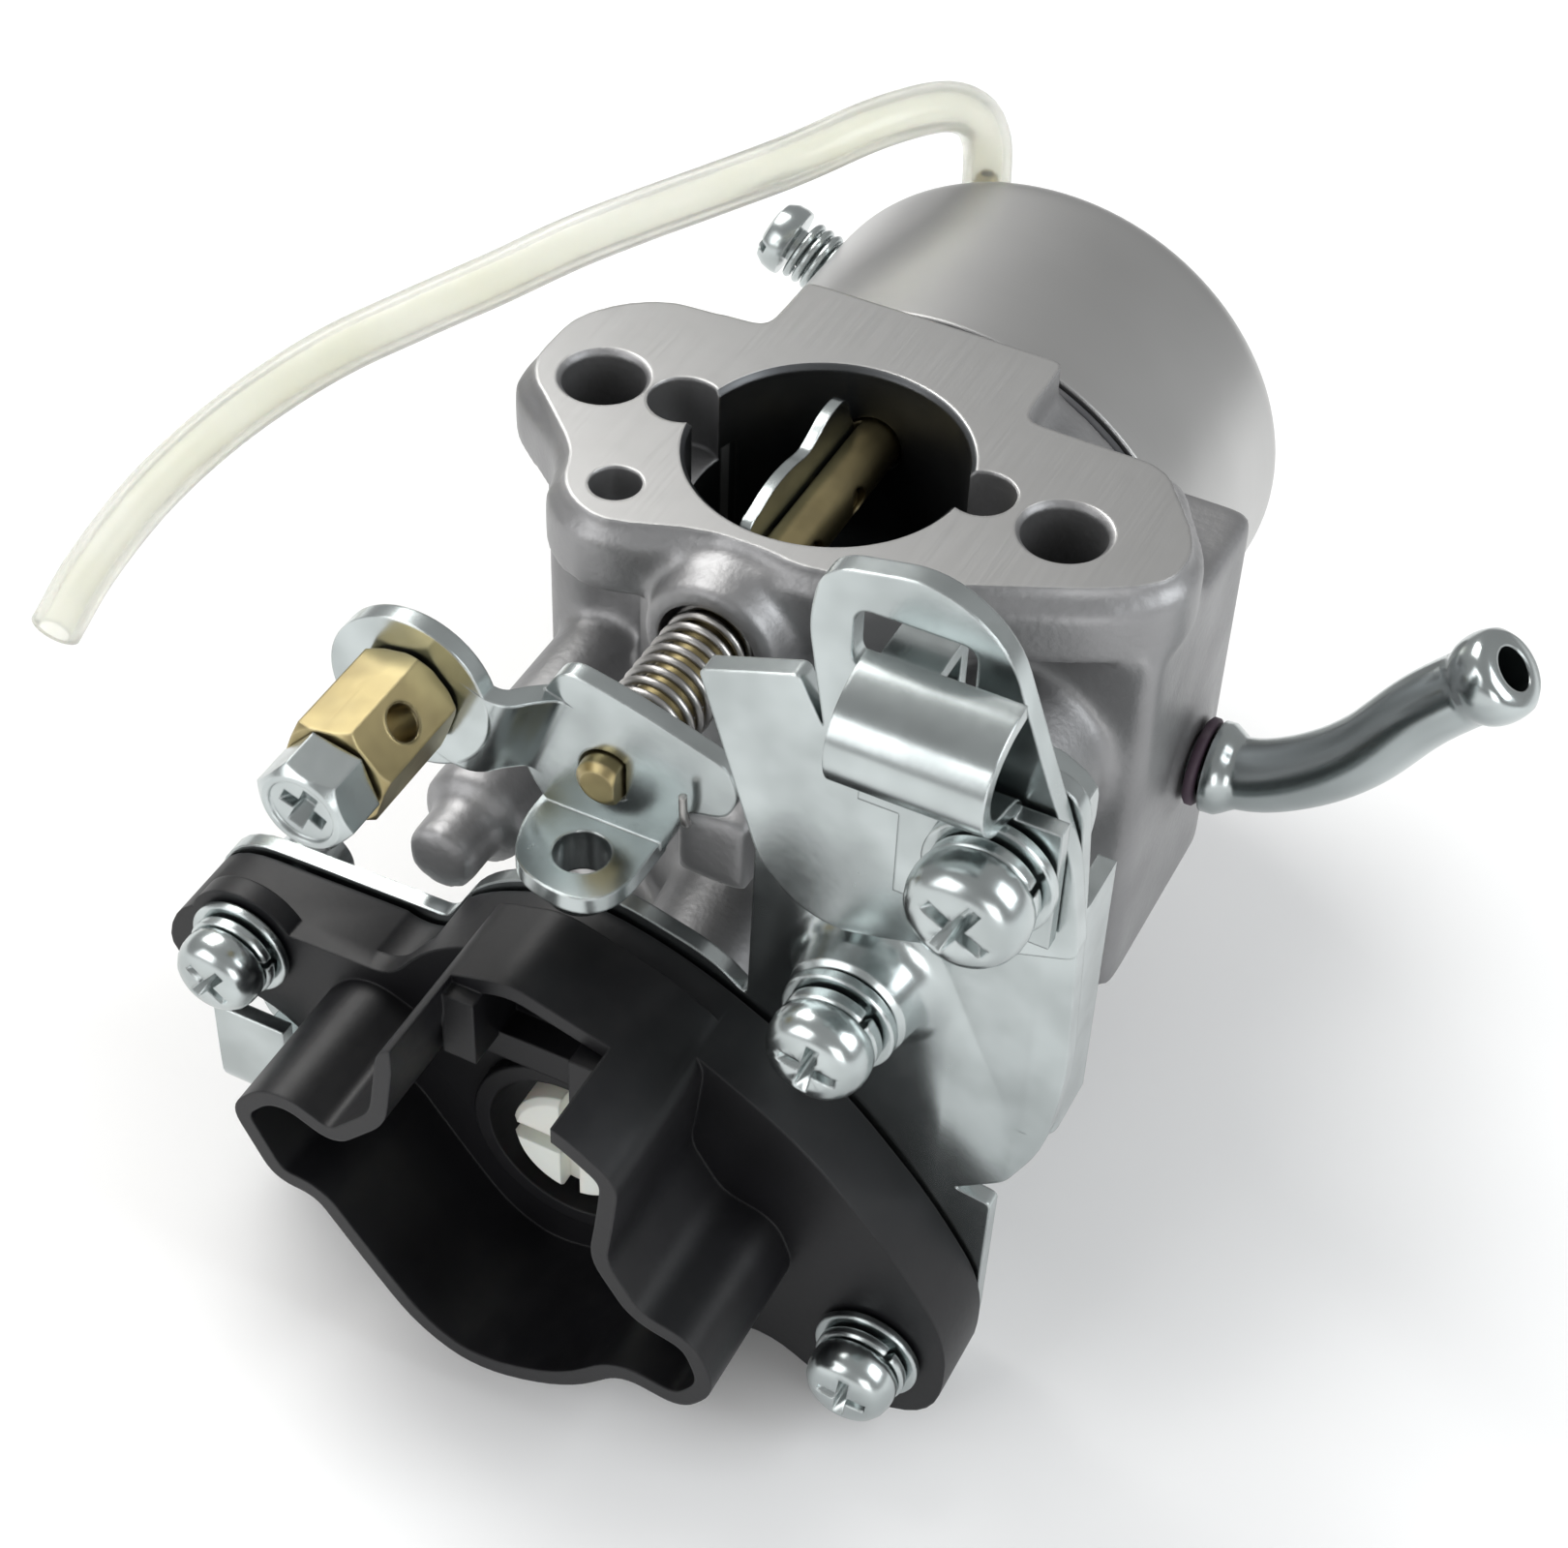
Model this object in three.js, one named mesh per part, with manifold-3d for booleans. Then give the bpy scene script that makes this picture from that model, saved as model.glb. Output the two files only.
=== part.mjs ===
// Carburetor for a small generator engine: die-cast body with a side float bowl, choke linkage,
// cable bracket, and the plastic cup that carries a throttle stepper motor.
//
// Frame, in millimetres: +Z runs along the bore from the engine flange (z = 0) to the intake flange,
// X joins the two stud holes, the motor cup faces -Y and the float bowl hangs towards +Y.
import * as THREE from 'three';
import { mergeVertices } from 'three/addons/utils/BufferGeometryUtils.js';
import Module from 'manifold-3d';

const wasm = await Module();
wasm.setup();

// ---------------------------------------------------------------- driving dimensions
const GAP = 0.3; // clearance left between neighbouring pieces

const BODY_LENGTH = 54; // engine face to intake face
const FLANGE_THICK = 7;
const STUD_SPACING = 42;
const STUD_HOLE_R = 3.6;
const INTAKE_R = 11.75; // bore radius at the intake
const VENTURI_R = 8.2;
const THROTTLE_R = 10.2; // bore radius at the engine side
const VENTURI_Z = 28;
const BARREL_R = 15.4;

const WALL_Y = -4.4; // front wall of the float-chamber block
const BLOCK_X = [-24.2, 31.6];
const BLOCK_Z = [9, 47.3];
const SEAT_Y = 21.2; // face the float bowl seals on

const BOWL = { x: 0.9, z: 28, r: 24.8, wall: 1.8, y0: 22.6, y1: 49 };
const COLUMN_R = 4.8; // cast column that carries the main nozzle and the bowl bolt
const BOWL_BOLT_R = 2.5;

const CHOKE = { x: -1.2, z: 46.4, r: 2.5, end: 17, swing: 75 };
const CHOKE_BOSS_Y = -18.8;
const LEVER = { y: -34.9, thick: 1.6, joggle: 4.1, eyeRadius: 15.7, eyeAngle: 160 };

const THROTTLE = { x: 0, z: 11.8, r: 3.1, end: 16 };
const THROTTLE_BOSS_Y = -25;

const PLATE = { y: -35, thick: 1.5 }; // motor base plate, front face and thickness
const BRACKET = { y: PLATE.y - GAP, thick: 1.8 };
const SADDLE_THICK = 1.3;
const POST_M = { x: 20.9, z: 34.9, r: 8.1, tip: 5.6 };
const POST_L = { x: -18.4, z: 26.9, r: 4.8, nose: 3.2 };
const SCREW_M = { x: 21.5, z: 35.8 };
const SCREW_CLAMP = { x: 31.9, z: 56 };

const HOLDER = { y: PLATE.y - GAP, thick: 7, rim: -56, wall: 1.5 };
const SCREW_LEFT = { x: -32, z: 19 };
const SCREW_RIGHT = { x: 27.2, z: 0.6 };

const PIPE = { y: 9, z: 26.6, r: 3.2, bore: 1.9 };
const HOSE_R = 2.35;
const NEEDLE = { x: 13.5, r: 1.8 };
const FLOAT = { r: 19, inner: 7.8, y0: 27.5, y1: 38.5, pinX: 18.8, pinY: 24.2, pinR: 0.8 };
const NIPPLE = { x: -9.4, y: 54, z: 38.4, tip: 47.4, r: 1.2 };

// ---------------------------------------------------------------- finishes
const FINISH = {
  cast: { color: 0x9a9b9c, roughness: 0.55, metalness: 0.8 },
  turned: { color: 0xa9a9a6, roughness: 0.35, metalness: 0.9 },
  zinc: { color: 0xc3cbcb, roughness: 0.25, metalness: 0.95 },
  steel: { color: 0x8f9090, roughness: 0.3, metalness: 0.95 },
  brass: { color: 0x9c8a55, roughness: 0.4, metalness: 0.9 },
  plastic: { color: 0x0d0d0f, roughness: 0.45, metalness: 0 },
  acetal: { color: 0xe6e2d6, roughness: 0.5, metalness: 0 },
  rubber: { color: 0x2a2030, roughness: 0.8, metalness: 0 },
  hose: { color: 0xd9d8c4, roughness: 0.35, metalness: 0 },
  fibre: { color: 0x3d3f42, roughness: 0.9, metalness: 0 },
};

// ---------------------------------------------------------------- solid tools
/** Turns a closed geometry into a manifold solid, with its faces pointing out. */
function solid(geometry) {
  const bare = geometry.clone();
  bare.deleteAttribute('normal');
  bare.deleteAttribute('uv');
  const merged = mergeVertices(bare, 1e-4);
  const points = merged.attributes.position.array;
  const raw = merged.index.array;
  const tris = [];
  let volume = 0;
  const corner = [new THREE.Vector3(), new THREE.Vector3(), new THREE.Vector3()];
  for (let i = 0; i < raw.length; i += 3) {
    const [a, b, c] = [raw[i], raw[i + 1], raw[i + 2]];
    if (a === b || b === c || c === a) continue;
    tris.push(a, b, c);
    corner.forEach((v, k) => v.fromArray(points, 3 * raw[i + k]));
    volume += corner[0].dot(corner[1].cross(corner[2]));
  }
  if (volume < 0) tris.reverse();
  return new wasm.Manifold(
    new wasm.Mesh({
      numProp: 3,
      vertProperties: new Float32Array(points),
      triVerts: new Uint32Array(tris),
    }),
  );
}

const join = (...pieces) => pieces.reduce((sum, piece) => sum.add(piece));
const cut = (from, ...tools) => tools.reduce((rest, tool) => rest.subtract(tool), from);

/** A cylinder or cone between two heights on an axis parallel to Y; r1 is the radius at y1. */
function rodY(x, z, y0, y1, r0, r1 = r0, sides = 20) {
  const geometry = new THREE.CylinderGeometry(r1, r0, y1 - y0, sides);
  return solid(geometry.translate(x, (y0 + y1) / 2, z));
}

/** A cylinder or cone on an axis parallel to Z; r1 is the radius at z1. */
function rodZ(x, y, z0, z1, r0, r1 = r0, sides = 20) {
  const geometry = new THREE.CylinderGeometry(r1, r0, z1 - z0, sides);
  return solid(geometry.rotateX(Math.PI / 2).translate(x, y, (z0 + z1) / 2));
}

/** A cylinder or cone on an axis parallel to X; r1 is the radius at x1. */
function rodX(y, z, x0, x1, r0, r1 = r0, sides = 20) {
  const geometry = new THREE.CylinderGeometry(r1, r0, x1 - x0, sides);
  return solid(geometry.rotateZ(-Math.PI / 2).translate((x0 + x1) / 2, y, z));
}

function block([x0, x1], [y0, y1], [z0, z1]) {
  const geometry = new THREE.BoxGeometry(x1 - x0, y1 - y0, z1 - z0);
  return solid(geometry.translate((x0 + x1) / 2, (y0 + y1) / 2, (z0 + z1) / 2));
}

/** A closed outline through corner points [u, v, radius]; a corner without a radius is sharp. */
function outline(corners) {
  const shape = new THREE.Shape();
  const count = corners.length;
  corners.forEach(([u, v, radius = 0], i) => {
    const here = new THREE.Vector2(u, v);
    const before = new THREE.Vector2(...corners[(i + count - 1) % count].slice(0, 2));
    const after = new THREE.Vector2(...corners[(i + 1) % count].slice(0, 2));
    const back = Math.min(radius, here.distanceTo(before) * 0.48);
    const ahead = Math.min(radius, here.distanceTo(after) * 0.48);
    const enter = here.clone().lerp(before, back / here.distanceTo(before));
    const leave = here.clone().lerp(after, ahead / here.distanceTo(after));
    if (i === 0) shape.moveTo(enter.x, enter.y);
    else shape.lineTo(enter.x, enter.y);
    if (radius > 0) shape.quadraticCurveTo(u, v, leave.x, leave.y);
  });
  shape.closePath();
  return shape;
}

const EXTRUDE = { bevelEnabled: false, curveSegments: 3 };

/** Extrudes an XZ outline from yBack towards the front, -Y. */
function slabY(shape, yFront, yBack) {
  const geometry = new THREE.ExtrudeGeometry(shape, { ...EXTRUDE, depth: yBack - yFront });
  return solid(geometry.rotateX(Math.PI / 2).translate(0, yBack, 0));
}

/** Extrudes an XY outline from z0 up to z1. */
function slabZ(shape, z0, z1) {
  const geometry = new THREE.ExtrudeGeometry(shape, { ...EXTRUDE, depth: z1 - z0 });
  return solid(geometry.translate(0, 0, z0));
}

/** Turns a closed half-profile [radius, height] about the Y axis. */
function turned(profile, sides = 20) {
  const points = profile.map(([r, h]) => new THREE.Vector2(r, h));
  return solid(new THREE.LatheGeometry(points, sides));
}

/** Turns a closed half-profile [radius, height] about the Z axis. */
function turnedZ(profile, sides = 20) {
  const points = profile.map(([r, h]) => new THREE.Vector2(r, h));
  return solid(new THREE.LatheGeometry(points, sides).rotateX(Math.PI / 2));
}

/** A round bar or tube that follows a smooth route. */
function bar(route, r, steps, sides = 8) {
  const path = new THREE.CatmullRomCurve3(route.map((p) => new THREE.Vector3(...p)));
  const ring = new THREE.Shape();
  for (let i = 0; i < sides; i += 1) {
    const angle = (2 * Math.PI * i) / sides;
    const at = [r * Math.cos(angle), r * Math.sin(angle)];
    if (i === 0) ring.moveTo(...at);
    else ring.lineTo(...at);
  }
  ring.closePath();
  return solid(new THREE.ExtrudeGeometry(ring, { steps, extrudePath: path, bevelEnabled: false }));
}

const root = new THREE.Group();

/** Adds a solid to the carburetor as a named mesh of its own. */
function part(name, piece, finish, place = new THREE.Vector3()) {
  const { vertProperties, triVerts } = piece.getMesh();
  const geometry = new THREE.BufferGeometry();
  geometry.setAttribute('position', new THREE.BufferAttribute(vertProperties, 3));
  geometry.setIndex(new THREE.BufferAttribute(triVerts, 1));
  geometry.computeVertexNormals();
  const mesh = new THREE.Mesh(geometry, new THREE.MeshStandardMaterial(FINISH[finish]));
  mesh.name = name;
  mesh.position.copy(place);
  root.add(mesh);
  return mesh;
}

const at = (x, y, z) => new THREE.Vector3(x, y, z);

// ---------------------------------------------------------------- carburetor body
/** Outline of both flanges: two stud ears, a front corner for the air passage, a neck at the back. */
function flangeOutline(inset, neckY) {
  return outline([
    [-28.7 + inset, -3.0 + inset, 3],
    [-28.6 + inset, 8.2 - inset, 3],
    [-23.6 + inset, 13.4 - inset, 3],
    [-12.2 + inset, 14.4 - inset, 2],
    [-12.2 + inset, neckY],
    [12.2 - inset, neckY],
    [12.2 - inset, 13.0 - inset, 1],
    [26.4 - inset, 12.8 - inset, 2],
    [32.2 - inset, 3.6, 3],
    [32.4 - inset, -1.6, 3],
    [28.0 - inset, -6.2 + inset, 4],
    [7.3, -15.9 + inset, 10],
    [-2.8, -14.2 + inset, 5],
    [-12.6, -18.4 + inset, 4],
    [-18.6 + inset, -15.2 + inset, 4],
    [-19.6 + inset, -9.8, 3],
  ]);
}

function bore() {
  return turnedZ([
    [0, -1],
    [THROTTLE_R, -1],
    [THROTTLE_R, 19],
    [VENTURI_R, VENTURI_Z - 2],
    [VENTURI_R, VENTURI_Z + 2],
    [INTAKE_R, 37],
    [INTAKE_R, BODY_LENGTH + 1],
    [0, BODY_LENGTH + 1],
  ], 32);
}

function carbBody() {
  const top = BODY_LENGTH;
  const intake = join(
    slabZ(flangeOutline(0, 18), top - FLANGE_THICK, top - 1.3),
    slabZ(flangeOutline(1.5, 18), top - 1.4, top),
  );
  const engine = slabZ(outline([
    [-27, -6, 5], [-27, 8, 5], [-15, 15, 5], [15, 15, 5], [28, 8, 5],
    [28, -6, 5], [17, -15.5, 6], [-17, -15.5, 6],
  ]), 0, 9);
  const chamber = slabZ(outline([
    [BLOCK_X[0], WALL_Y, 1.5], [BLOCK_X[0], SEAT_Y - 3, 2], [BLOCK_X[1], SEAT_Y - 3, 2],
    [BLOCK_X[1], WALL_Y, 1.5],
  ]), BLOCK_Z[0], BLOCK_Z[1]);
  const seat = rodY(BOWL.x, BOWL.z, SEAT_Y - 6, SEAT_Y, BOWL.r - 0.1, BOWL.r - 0.1, 48);
  const neck = block([-12.2, 12.2], [11, SEAT_Y - 0.5], [46, top]);
  const barrel = rodZ(0, 0, 5, top - 4, BARREL_R, BARREL_R, 36);
  const column = rodY(BOWL.x, BOWL.z, SEAT_Y - 1, BOWL.y1 - 6, COLUMN_R, COLUMN_R, 20);
  const chokeBoss = rodY(CHOKE.x, CHOKE.z, CHOKE_BOSS_Y, -8, 5.9, 7.4);
  const throttleBoss = rodY(THROTTLE.x, THROTTLE.z, THROTTLE_BOSS_Y, -8, 6.2, 7.6);
  const postM = rodY(POST_M.x, POST_M.z, PLATE.y + PLATE.thick + GAP, WALL_Y + 1, POST_M.tip, POST_M.r);
  const postL = join(
    rodY(POST_L.x, POST_L.z, -28, WALL_Y + 1, POST_L.r),
    rodY(POST_L.x, POST_L.z, PLATE.y + PLATE.thick + GAP, -27, POST_L.nose, POST_L.nose, 16),
  );
  const stopLug = block([3.4, 9.6], [-32.8, -10], [36.2, 43.6]);
  const pipeSeat = rodX(PIPE.y, PIPE.z, BLOCK_X[1] - 2, BLOCK_X[1] + 0.6, 4.6);
  const plugBoss = rodX(4.5, 17, BLOCK_X[0] - 2.4, BLOCK_X[0] + 2, 3.6, 3.6, 16);
  const whole = join(
    intake, engine, chamber, seat, neck, barrel, column, chokeBoss, throttleBoss,
    postM, postL, stopLug, pipeSeat, plugBoss,
  );
  const holes = [
    bore(),
    rodY(CHOKE.x, CHOKE.z, CHOKE_BOSS_Y - 1, CHOKE.end + GAP, CHOKE.r + GAP, CHOKE.r + GAP, 20),
    rodY(CHOKE.x, CHOKE.z, CHOKE_BOSS_Y - 1, CHOKE_BOSS_Y + 3, 4.4),
    rodY(THROTTLE.x, THROTTLE.z, THROTTLE_BOSS_Y - 1, THROTTLE.end + GAP, THROTTLE.r + GAP,
      THROTTLE.r + GAP, 20),
    rodY(THROTTLE.x, THROTTLE.z, THROTTLE_BOSS_Y - 1, THROTTLE_BOSS_Y + 2.6, 5.0),
    rodY(BOWL.x, BOWL.z, 5, BOWL.y1, 2.9, 2.9, 16),
    rodY(SCREW_M.x, SCREW_M.z, PLATE.y, PLATE.y + 12, 2.5, 2.5, 12),
    rodX(PIPE.y, PIPE.z, NEEDLE.x, BLOCK_X[1] + 2, 2.9, 2.9, 16),
    rodY(NEEDLE.x, PIPE.z, PIPE.y - 2.2, SEAT_Y + 1, 2.6, 2.6, 16),
    rodZ(-13.2, -12, top - 10, top + 1, 2.2, 2.2, 16),
    rodZ(-13.6, 0.4, top - 7, top + 1, 3.1, 3.1, 20),
    rodZ(13.2, 1.2, top - 8, top + 1, 2.9, 2.9, 20),
    rodZ(-10.5, 3.6, 20, top - 6, 1.1, 1.1, 10),
    rodX(4.5, 17, BLOCK_X[0] - 4, BLOCK_X[0] + 4, 2.1, 2.1, 12),
    rodZ(-16.5, 14.5, 30, BLOCK_Z[1] + 8, 1.7, 1.7, 12),
  ];
  for (const x of [-STUD_SPACING / 2, STUD_SPACING / 2]) {
    holes.push(rodZ(x, 0, -1, 9, STUD_HOLE_R));
    holes.push(rodZ(x, 0, 8, top - FLANGE_THICK + 1, STUD_HOLE_R - 0.3));
    holes.push(rodZ(x, 0, top - FLANGE_THICK, top + 1, STUD_HOLE_R));
  }
  return cut(whole, ...holes);
}

function floatLugs() {
  const lugs = [-1, 1].map((side) => {
    const z = PIPE.z + side * 7;
    const lug = block([FLOAT.pinX - 2, FLOAT.pinX + 2], [SEAT_Y - 1, FLOAT.pinY + 2.2], [z - 1, z + 1]);
    return cut(lug, rodZ(FLOAT.pinX, FLOAT.pinY, z - 2, z + 2, FLOAT.pinR + GAP, FLOAT.pinR + GAP, 12));
  });
  return join(...lugs);
}
part('carb_body', join(carbBody(), floatLugs()), 'cast');

// ---------------------------------------------------------------- plugs and fuel inlet
part('passage_plug', rodX(4.5, 17, BLOCK_X[0] - 3.2, BLOCK_X[0] + 3.5, 1.75, 1.75, 12), 'brass');

const PIPE_ROUTE = [
  [BLOCK_X[1] - 5, PIPE.y, PIPE.z], [34.8, PIPE.y, PIPE.z], [38.6, PIPE.y, 27.5],
  [42.9, PIPE.y, 30.4], [46.6, PIPE.y, 34.4], [50.8, PIPE.y, 41], [55.9, PIPE.y, 46.9],
];
function inletPipe() {
  const tail = rodX(PIPE.y, PIPE.z, BLOCK_X[1] - 5, BLOCK_X[1] + 3, PIPE.r - 0.7, PIPE.r - 0.7, 14);
  const tip = new THREE.Vector3(55.3, PIPE.y, 46.2);
  const along = new THREE.Vector3(5.1, 0, 5.9).normalize();
  const bead = turnedZ([[0, -6.5], [PIPE.r, -6.5], [PIPE.r, -3.6], [PIPE.r + 0.75, -2.6],
    [PIPE.r + 0.75, -0.9], [PIPE.r, 0], [0, 0]], 16);
  const angle = THREE.MathUtils.radToDeg(Math.atan2(along.x, along.z));
  const end = bead.rotate([0, angle, 0]).translate([tip.x, tip.y, tip.z]);
  const collar = join(
    rodX(PIPE.y, PIPE.z, BLOCK_X[1] + 2.2, BLOCK_X[1] + 3.6, 4.1, 4.1, 16),
    rodX(PIPE.y, PIPE.z, BLOCK_X[1] + 3.5, BLOCK_X[1] + 4.8, 4.1, PIPE.r, 16),
  );
  const outer = join(bar(PIPE_ROUTE.slice(1), PIPE.r, 10, 14), end, collar, tail);
  const bored = bar([[BLOCK_X[1] - 6, PIPE.y, PIPE.z], ...PIPE_ROUTE, [60.5, PIPE.y, 52.2]], PIPE.bore, 14, 8);
  return cut(outer, bored);
}
part('fuel_inlet_pipe', inletPipe(), 'zinc');
part('inlet_pipe_seal', cut(
  rodX(PIPE.y, PIPE.z, BLOCK_X[1] + 0.9, BLOCK_X[1] + 1.9, 4.0, 4.0, 16),
  rodX(PIPE.y, PIPE.z, BLOCK_X[1], BLOCK_X[1] + 3, PIPE.r - 0.25, PIPE.r - 0.25, 14),
), 'rubber');

// ---------------------------------------------------------------- float bowl and what it holds
const DRAIN = { x: -21.9, y: 50.6, z: 32.6, tilt: 21, r: 3.7 };

/** Lays a solid built along -X onto the drain screw's axis. */
const onDrainAxis = (piece) => piece.rotate([0, DRAIN.tilt, 0]).translate([DRAIN.x, DRAIN.y, DRAIN.z]);

function floatBowl() {
  const { r, wall, y0, y1 } = BOWL;
  const cup = turned([
    [0, y1 - wall], [r - 4.4, y1 - wall], [r - 2.6, y1 - 3.2], [r - wall, y0],
    [r, y0], [r - 0.5, y1 - 4], [r - 1.4, y1 - 1.2], [r - 3.4, y1], [0, y1],
  ], 44).translate([BOWL.x, 0, BOWL.z]);
  const boltBoss = rodY(BOWL.x, BOWL.z, y1 - 1, y1 + 1, 6.4, 6.4, 20);
  const drainBlock = block([-13.6, -5.2], [y1 - 1.5, y1 + 8.2], [31.2, NIPPLE.z - 0.6]);
  const drainBoss = onDrainAxis(rodX(0, 0, 0, 12, DRAIN.r, DRAIN.r, 16));
  const boss = cut(join(drainBlock, drainBoss), rodY(BOWL.x, BOWL.z, y0, y1 - wall, r - 3.4, r - 3.4, 32));
  return cut(
    join(cup, boltBoss, boss),
    rodY(BOWL.x, BOWL.z, y1 - 4, y1 + 3, BOWL_BOLT_R + GAP, BOWL_BOLT_R + GAP, 16),
    onDrainAxis(rodX(0, 0, -1, 9, 2.1, 2.1, 12)),
    rodZ(NIPPLE.x, NIPPLE.y, 33, NIPPLE.z, NIPPLE.r + GAP + 0.2, NIPPLE.r + GAP + 0.2, 10),
  );
}
part('float_bowl', floatBowl(), 'turned');

part('bowl_gasket', cut(
  rodY(BOWL.x, BOWL.z, SEAT_Y + GAP, BOWL.y0 - GAP, BOWL.r - 0.3, BOWL.r - 0.3, 36),
  rodY(BOWL.x, BOWL.z, SEAT_Y, BOWL.y0, BOWL.r - 2.2, BOWL.r - 2.2, 36),
), 'rubber');

const BOLT_SEAT_Y = BOWL.y1 + 1;
part('bowl_bolt_washer', cut(
  rodY(BOWL.x, BOWL.z, BOLT_SEAT_Y + GAP, BOLT_SEAT_Y + 1.3, 5.4, 5.4, 18),
  rodY(BOWL.x, BOWL.z, BOLT_SEAT_Y, BOLT_SEAT_Y + 2, BOWL_BOLT_R + GAP, BOWL_BOLT_R + GAP, 14),
), 'fibre');
part('bowl_bolt', join(
  rodY(BOWL.x, BOWL.z, BOLT_SEAT_Y + 1.6, BOLT_SEAT_Y + 6, 5.2, 5.2, 6),
  rodY(BOWL.x, BOWL.z, BOWL.y1 - 8, BOLT_SEAT_Y + 2, BOWL_BOLT_R, BOWL_BOLT_R, 12),
), 'zinc');

part('main_nozzle', cut(
  rodY(BOWL.x, BOWL.z, 6.3, 32, 2.3, 2.3, 12),
  rodY(BOWL.x, BOWL.z, 5, 33, 1.0, 1.0, 8),
), 'brass');
part('main_jet', cut(
  rodY(BOWL.x, BOWL.z, 32.4, 36.4, 2.5, 2.5, 12),
  rodY(BOWL.x, BOWL.z, 32, 37, 0.6, 0.6, 8),
  block([BOWL.x - 3, BOWL.x + 3], [35.4, 37], [BOWL.z - 0.4, BOWL.z + 0.4]),
), 'brass');

part('inlet_valve_seat', cut(
  rodY(NEEDLE.x, PIPE.z, 12.2, 14.4, 2.25, 2.25, 12),
  rodY(NEEDLE.x, PIPE.z, 12, 15, 1.0, 1.0, 8),
), 'brass');
part('inlet_needle', join(
  rodY(NEEDLE.x, PIPE.z, 14.8, 16.6, 0.4, NEEDLE.r, 10),
  rodY(NEEDLE.x, PIPE.z, 16.5, FLOAT.pinY - 1.1, NEEDLE.r, NEEDLE.r, 10),
), 'rubber');
part('float_pin', rodZ(FLOAT.pinX, FLOAT.pinY, PIPE.z - 9, PIPE.z + 9, FLOAT.pinR, FLOAT.pinR, 10), 'steel');

function floatPiece() {
  const ring = cut(
    rodY(BOWL.x, BOWL.z, FLOAT.y0, FLOAT.y1, FLOAT.r, FLOAT.r, 28),
    rodY(BOWL.x, BOWL.z, FLOAT.y0 - 1, FLOAT.y1 + 1, FLOAT.inner, FLOAT.inner, 18),
  );
  const arm = join(
    block([12, FLOAT.pinX], [FLOAT.pinY - 0.7, FLOAT.pinY + 0.7], [PIPE.z - 4, PIPE.z + 4]),
    block([11, 13], [FLOAT.pinY - 0.7, FLOAT.y0 + 1], [PIPE.z - 4, PIPE.z + 4]),
    rodZ(FLOAT.pinX, FLOAT.pinY, PIPE.z - 5.4, PIPE.z + 5.4, 2, 2, 12),
  );
  const eye = rodZ(FLOAT.pinX, FLOAT.pinY, PIPE.z - 6, PIPE.z + 6, FLOAT.pinR + GAP, FLOAT.pinR + GAP, 10);
  return cut(join(ring, arm), eye);
}
part('float', floatPiece(), 'acetal');

// ---------------------------------------------------------------- drain screw, nipple and hose
const DRAIN_HEAD = { r: 3.6, x0: -9.2, x1: -6.4 };
part('drain_screw', onDrainAxis(join(
  rodX(0, 0, DRAIN_HEAD.x0, DRAIN_HEAD.x1, DRAIN_HEAD.r * 0.8, DRAIN_HEAD.r, 18),
  rodX(0, 0, DRAIN_HEAD.x1 - 0.5, 8.4, 1.75, 1.75, 10),
)), 'zinc');

/** A coil spring whose axis is the X axis, from x0 to x1. */
function coil(x0, x1, radius, wire, turns, perTurn = 7) {
  const route = [];
  const steps = turns * perTurn;
  for (let i = 0; i <= steps; i += 1) {
    const angle = (2 * Math.PI * i) / perTurn;
    route.push([x0 + ((x1 - x0) * i) / steps, radius * Math.cos(angle), radius * Math.sin(angle)]);
  }
  return bar(route, wire, steps, 5);
}
part('drain_screw_spring', onDrainAxis(coil(DRAIN_HEAD.x1 + 0.8, -0.9, 2.75, 0.42, 4)), 'steel');

part('drain_nipple', cut(
  join(
    rodZ(NIPPLE.x, NIPPLE.y, NIPPLE.z - 4, NIPPLE.tip, NIPPLE.r, NIPPLE.r, 10),
    rodZ(NIPPLE.x, NIPPLE.y, NIPPLE.z - 0.3, NIPPLE.z + 1.2, 2.6, 2.6, 12),
    rodZ(NIPPLE.x, NIPPLE.y, NIPPLE.tip - 2.4, NIPPLE.tip - 0.8, 1.45, 1.1, 10),
  ),
  rodZ(NIPPLE.x, NIPPLE.y, NIPPLE.z - 5, NIPPLE.tip + 1, 0.7, 0.7, 8),
), 'brass');

// Bare end of clear vinyl hose: straight off the nipple, over in one bend, then a stiff droop.
const HOSE_ROUTE = [
  [-9.4, 54, NIPPLE.tip + 0.5], [-9.6, 53.6, 51], [-10.4, 51.6, 54.6], [-12.2, 47.6, 57],
  [-15.4, 40.6, 58], [-19.8, 33.4, 57], [-25, 27, 55.6], [-29, 21.6, 54.8], [-33.2, 16, 53.7],
  [-38, 10.6, 51.5], [-43, 5.4, 49.3], [-48.4, -1.2, 46.9], [-54, -8, 42.6], [-59, -14, 36.8],
  [-62.8, -19.2, 30.2], [-65, -22.8, 24.6],
];
part('drain_hose', bar(HOSE_ROUTE, HOSE_R, 30, 8), 'hose');

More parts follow.
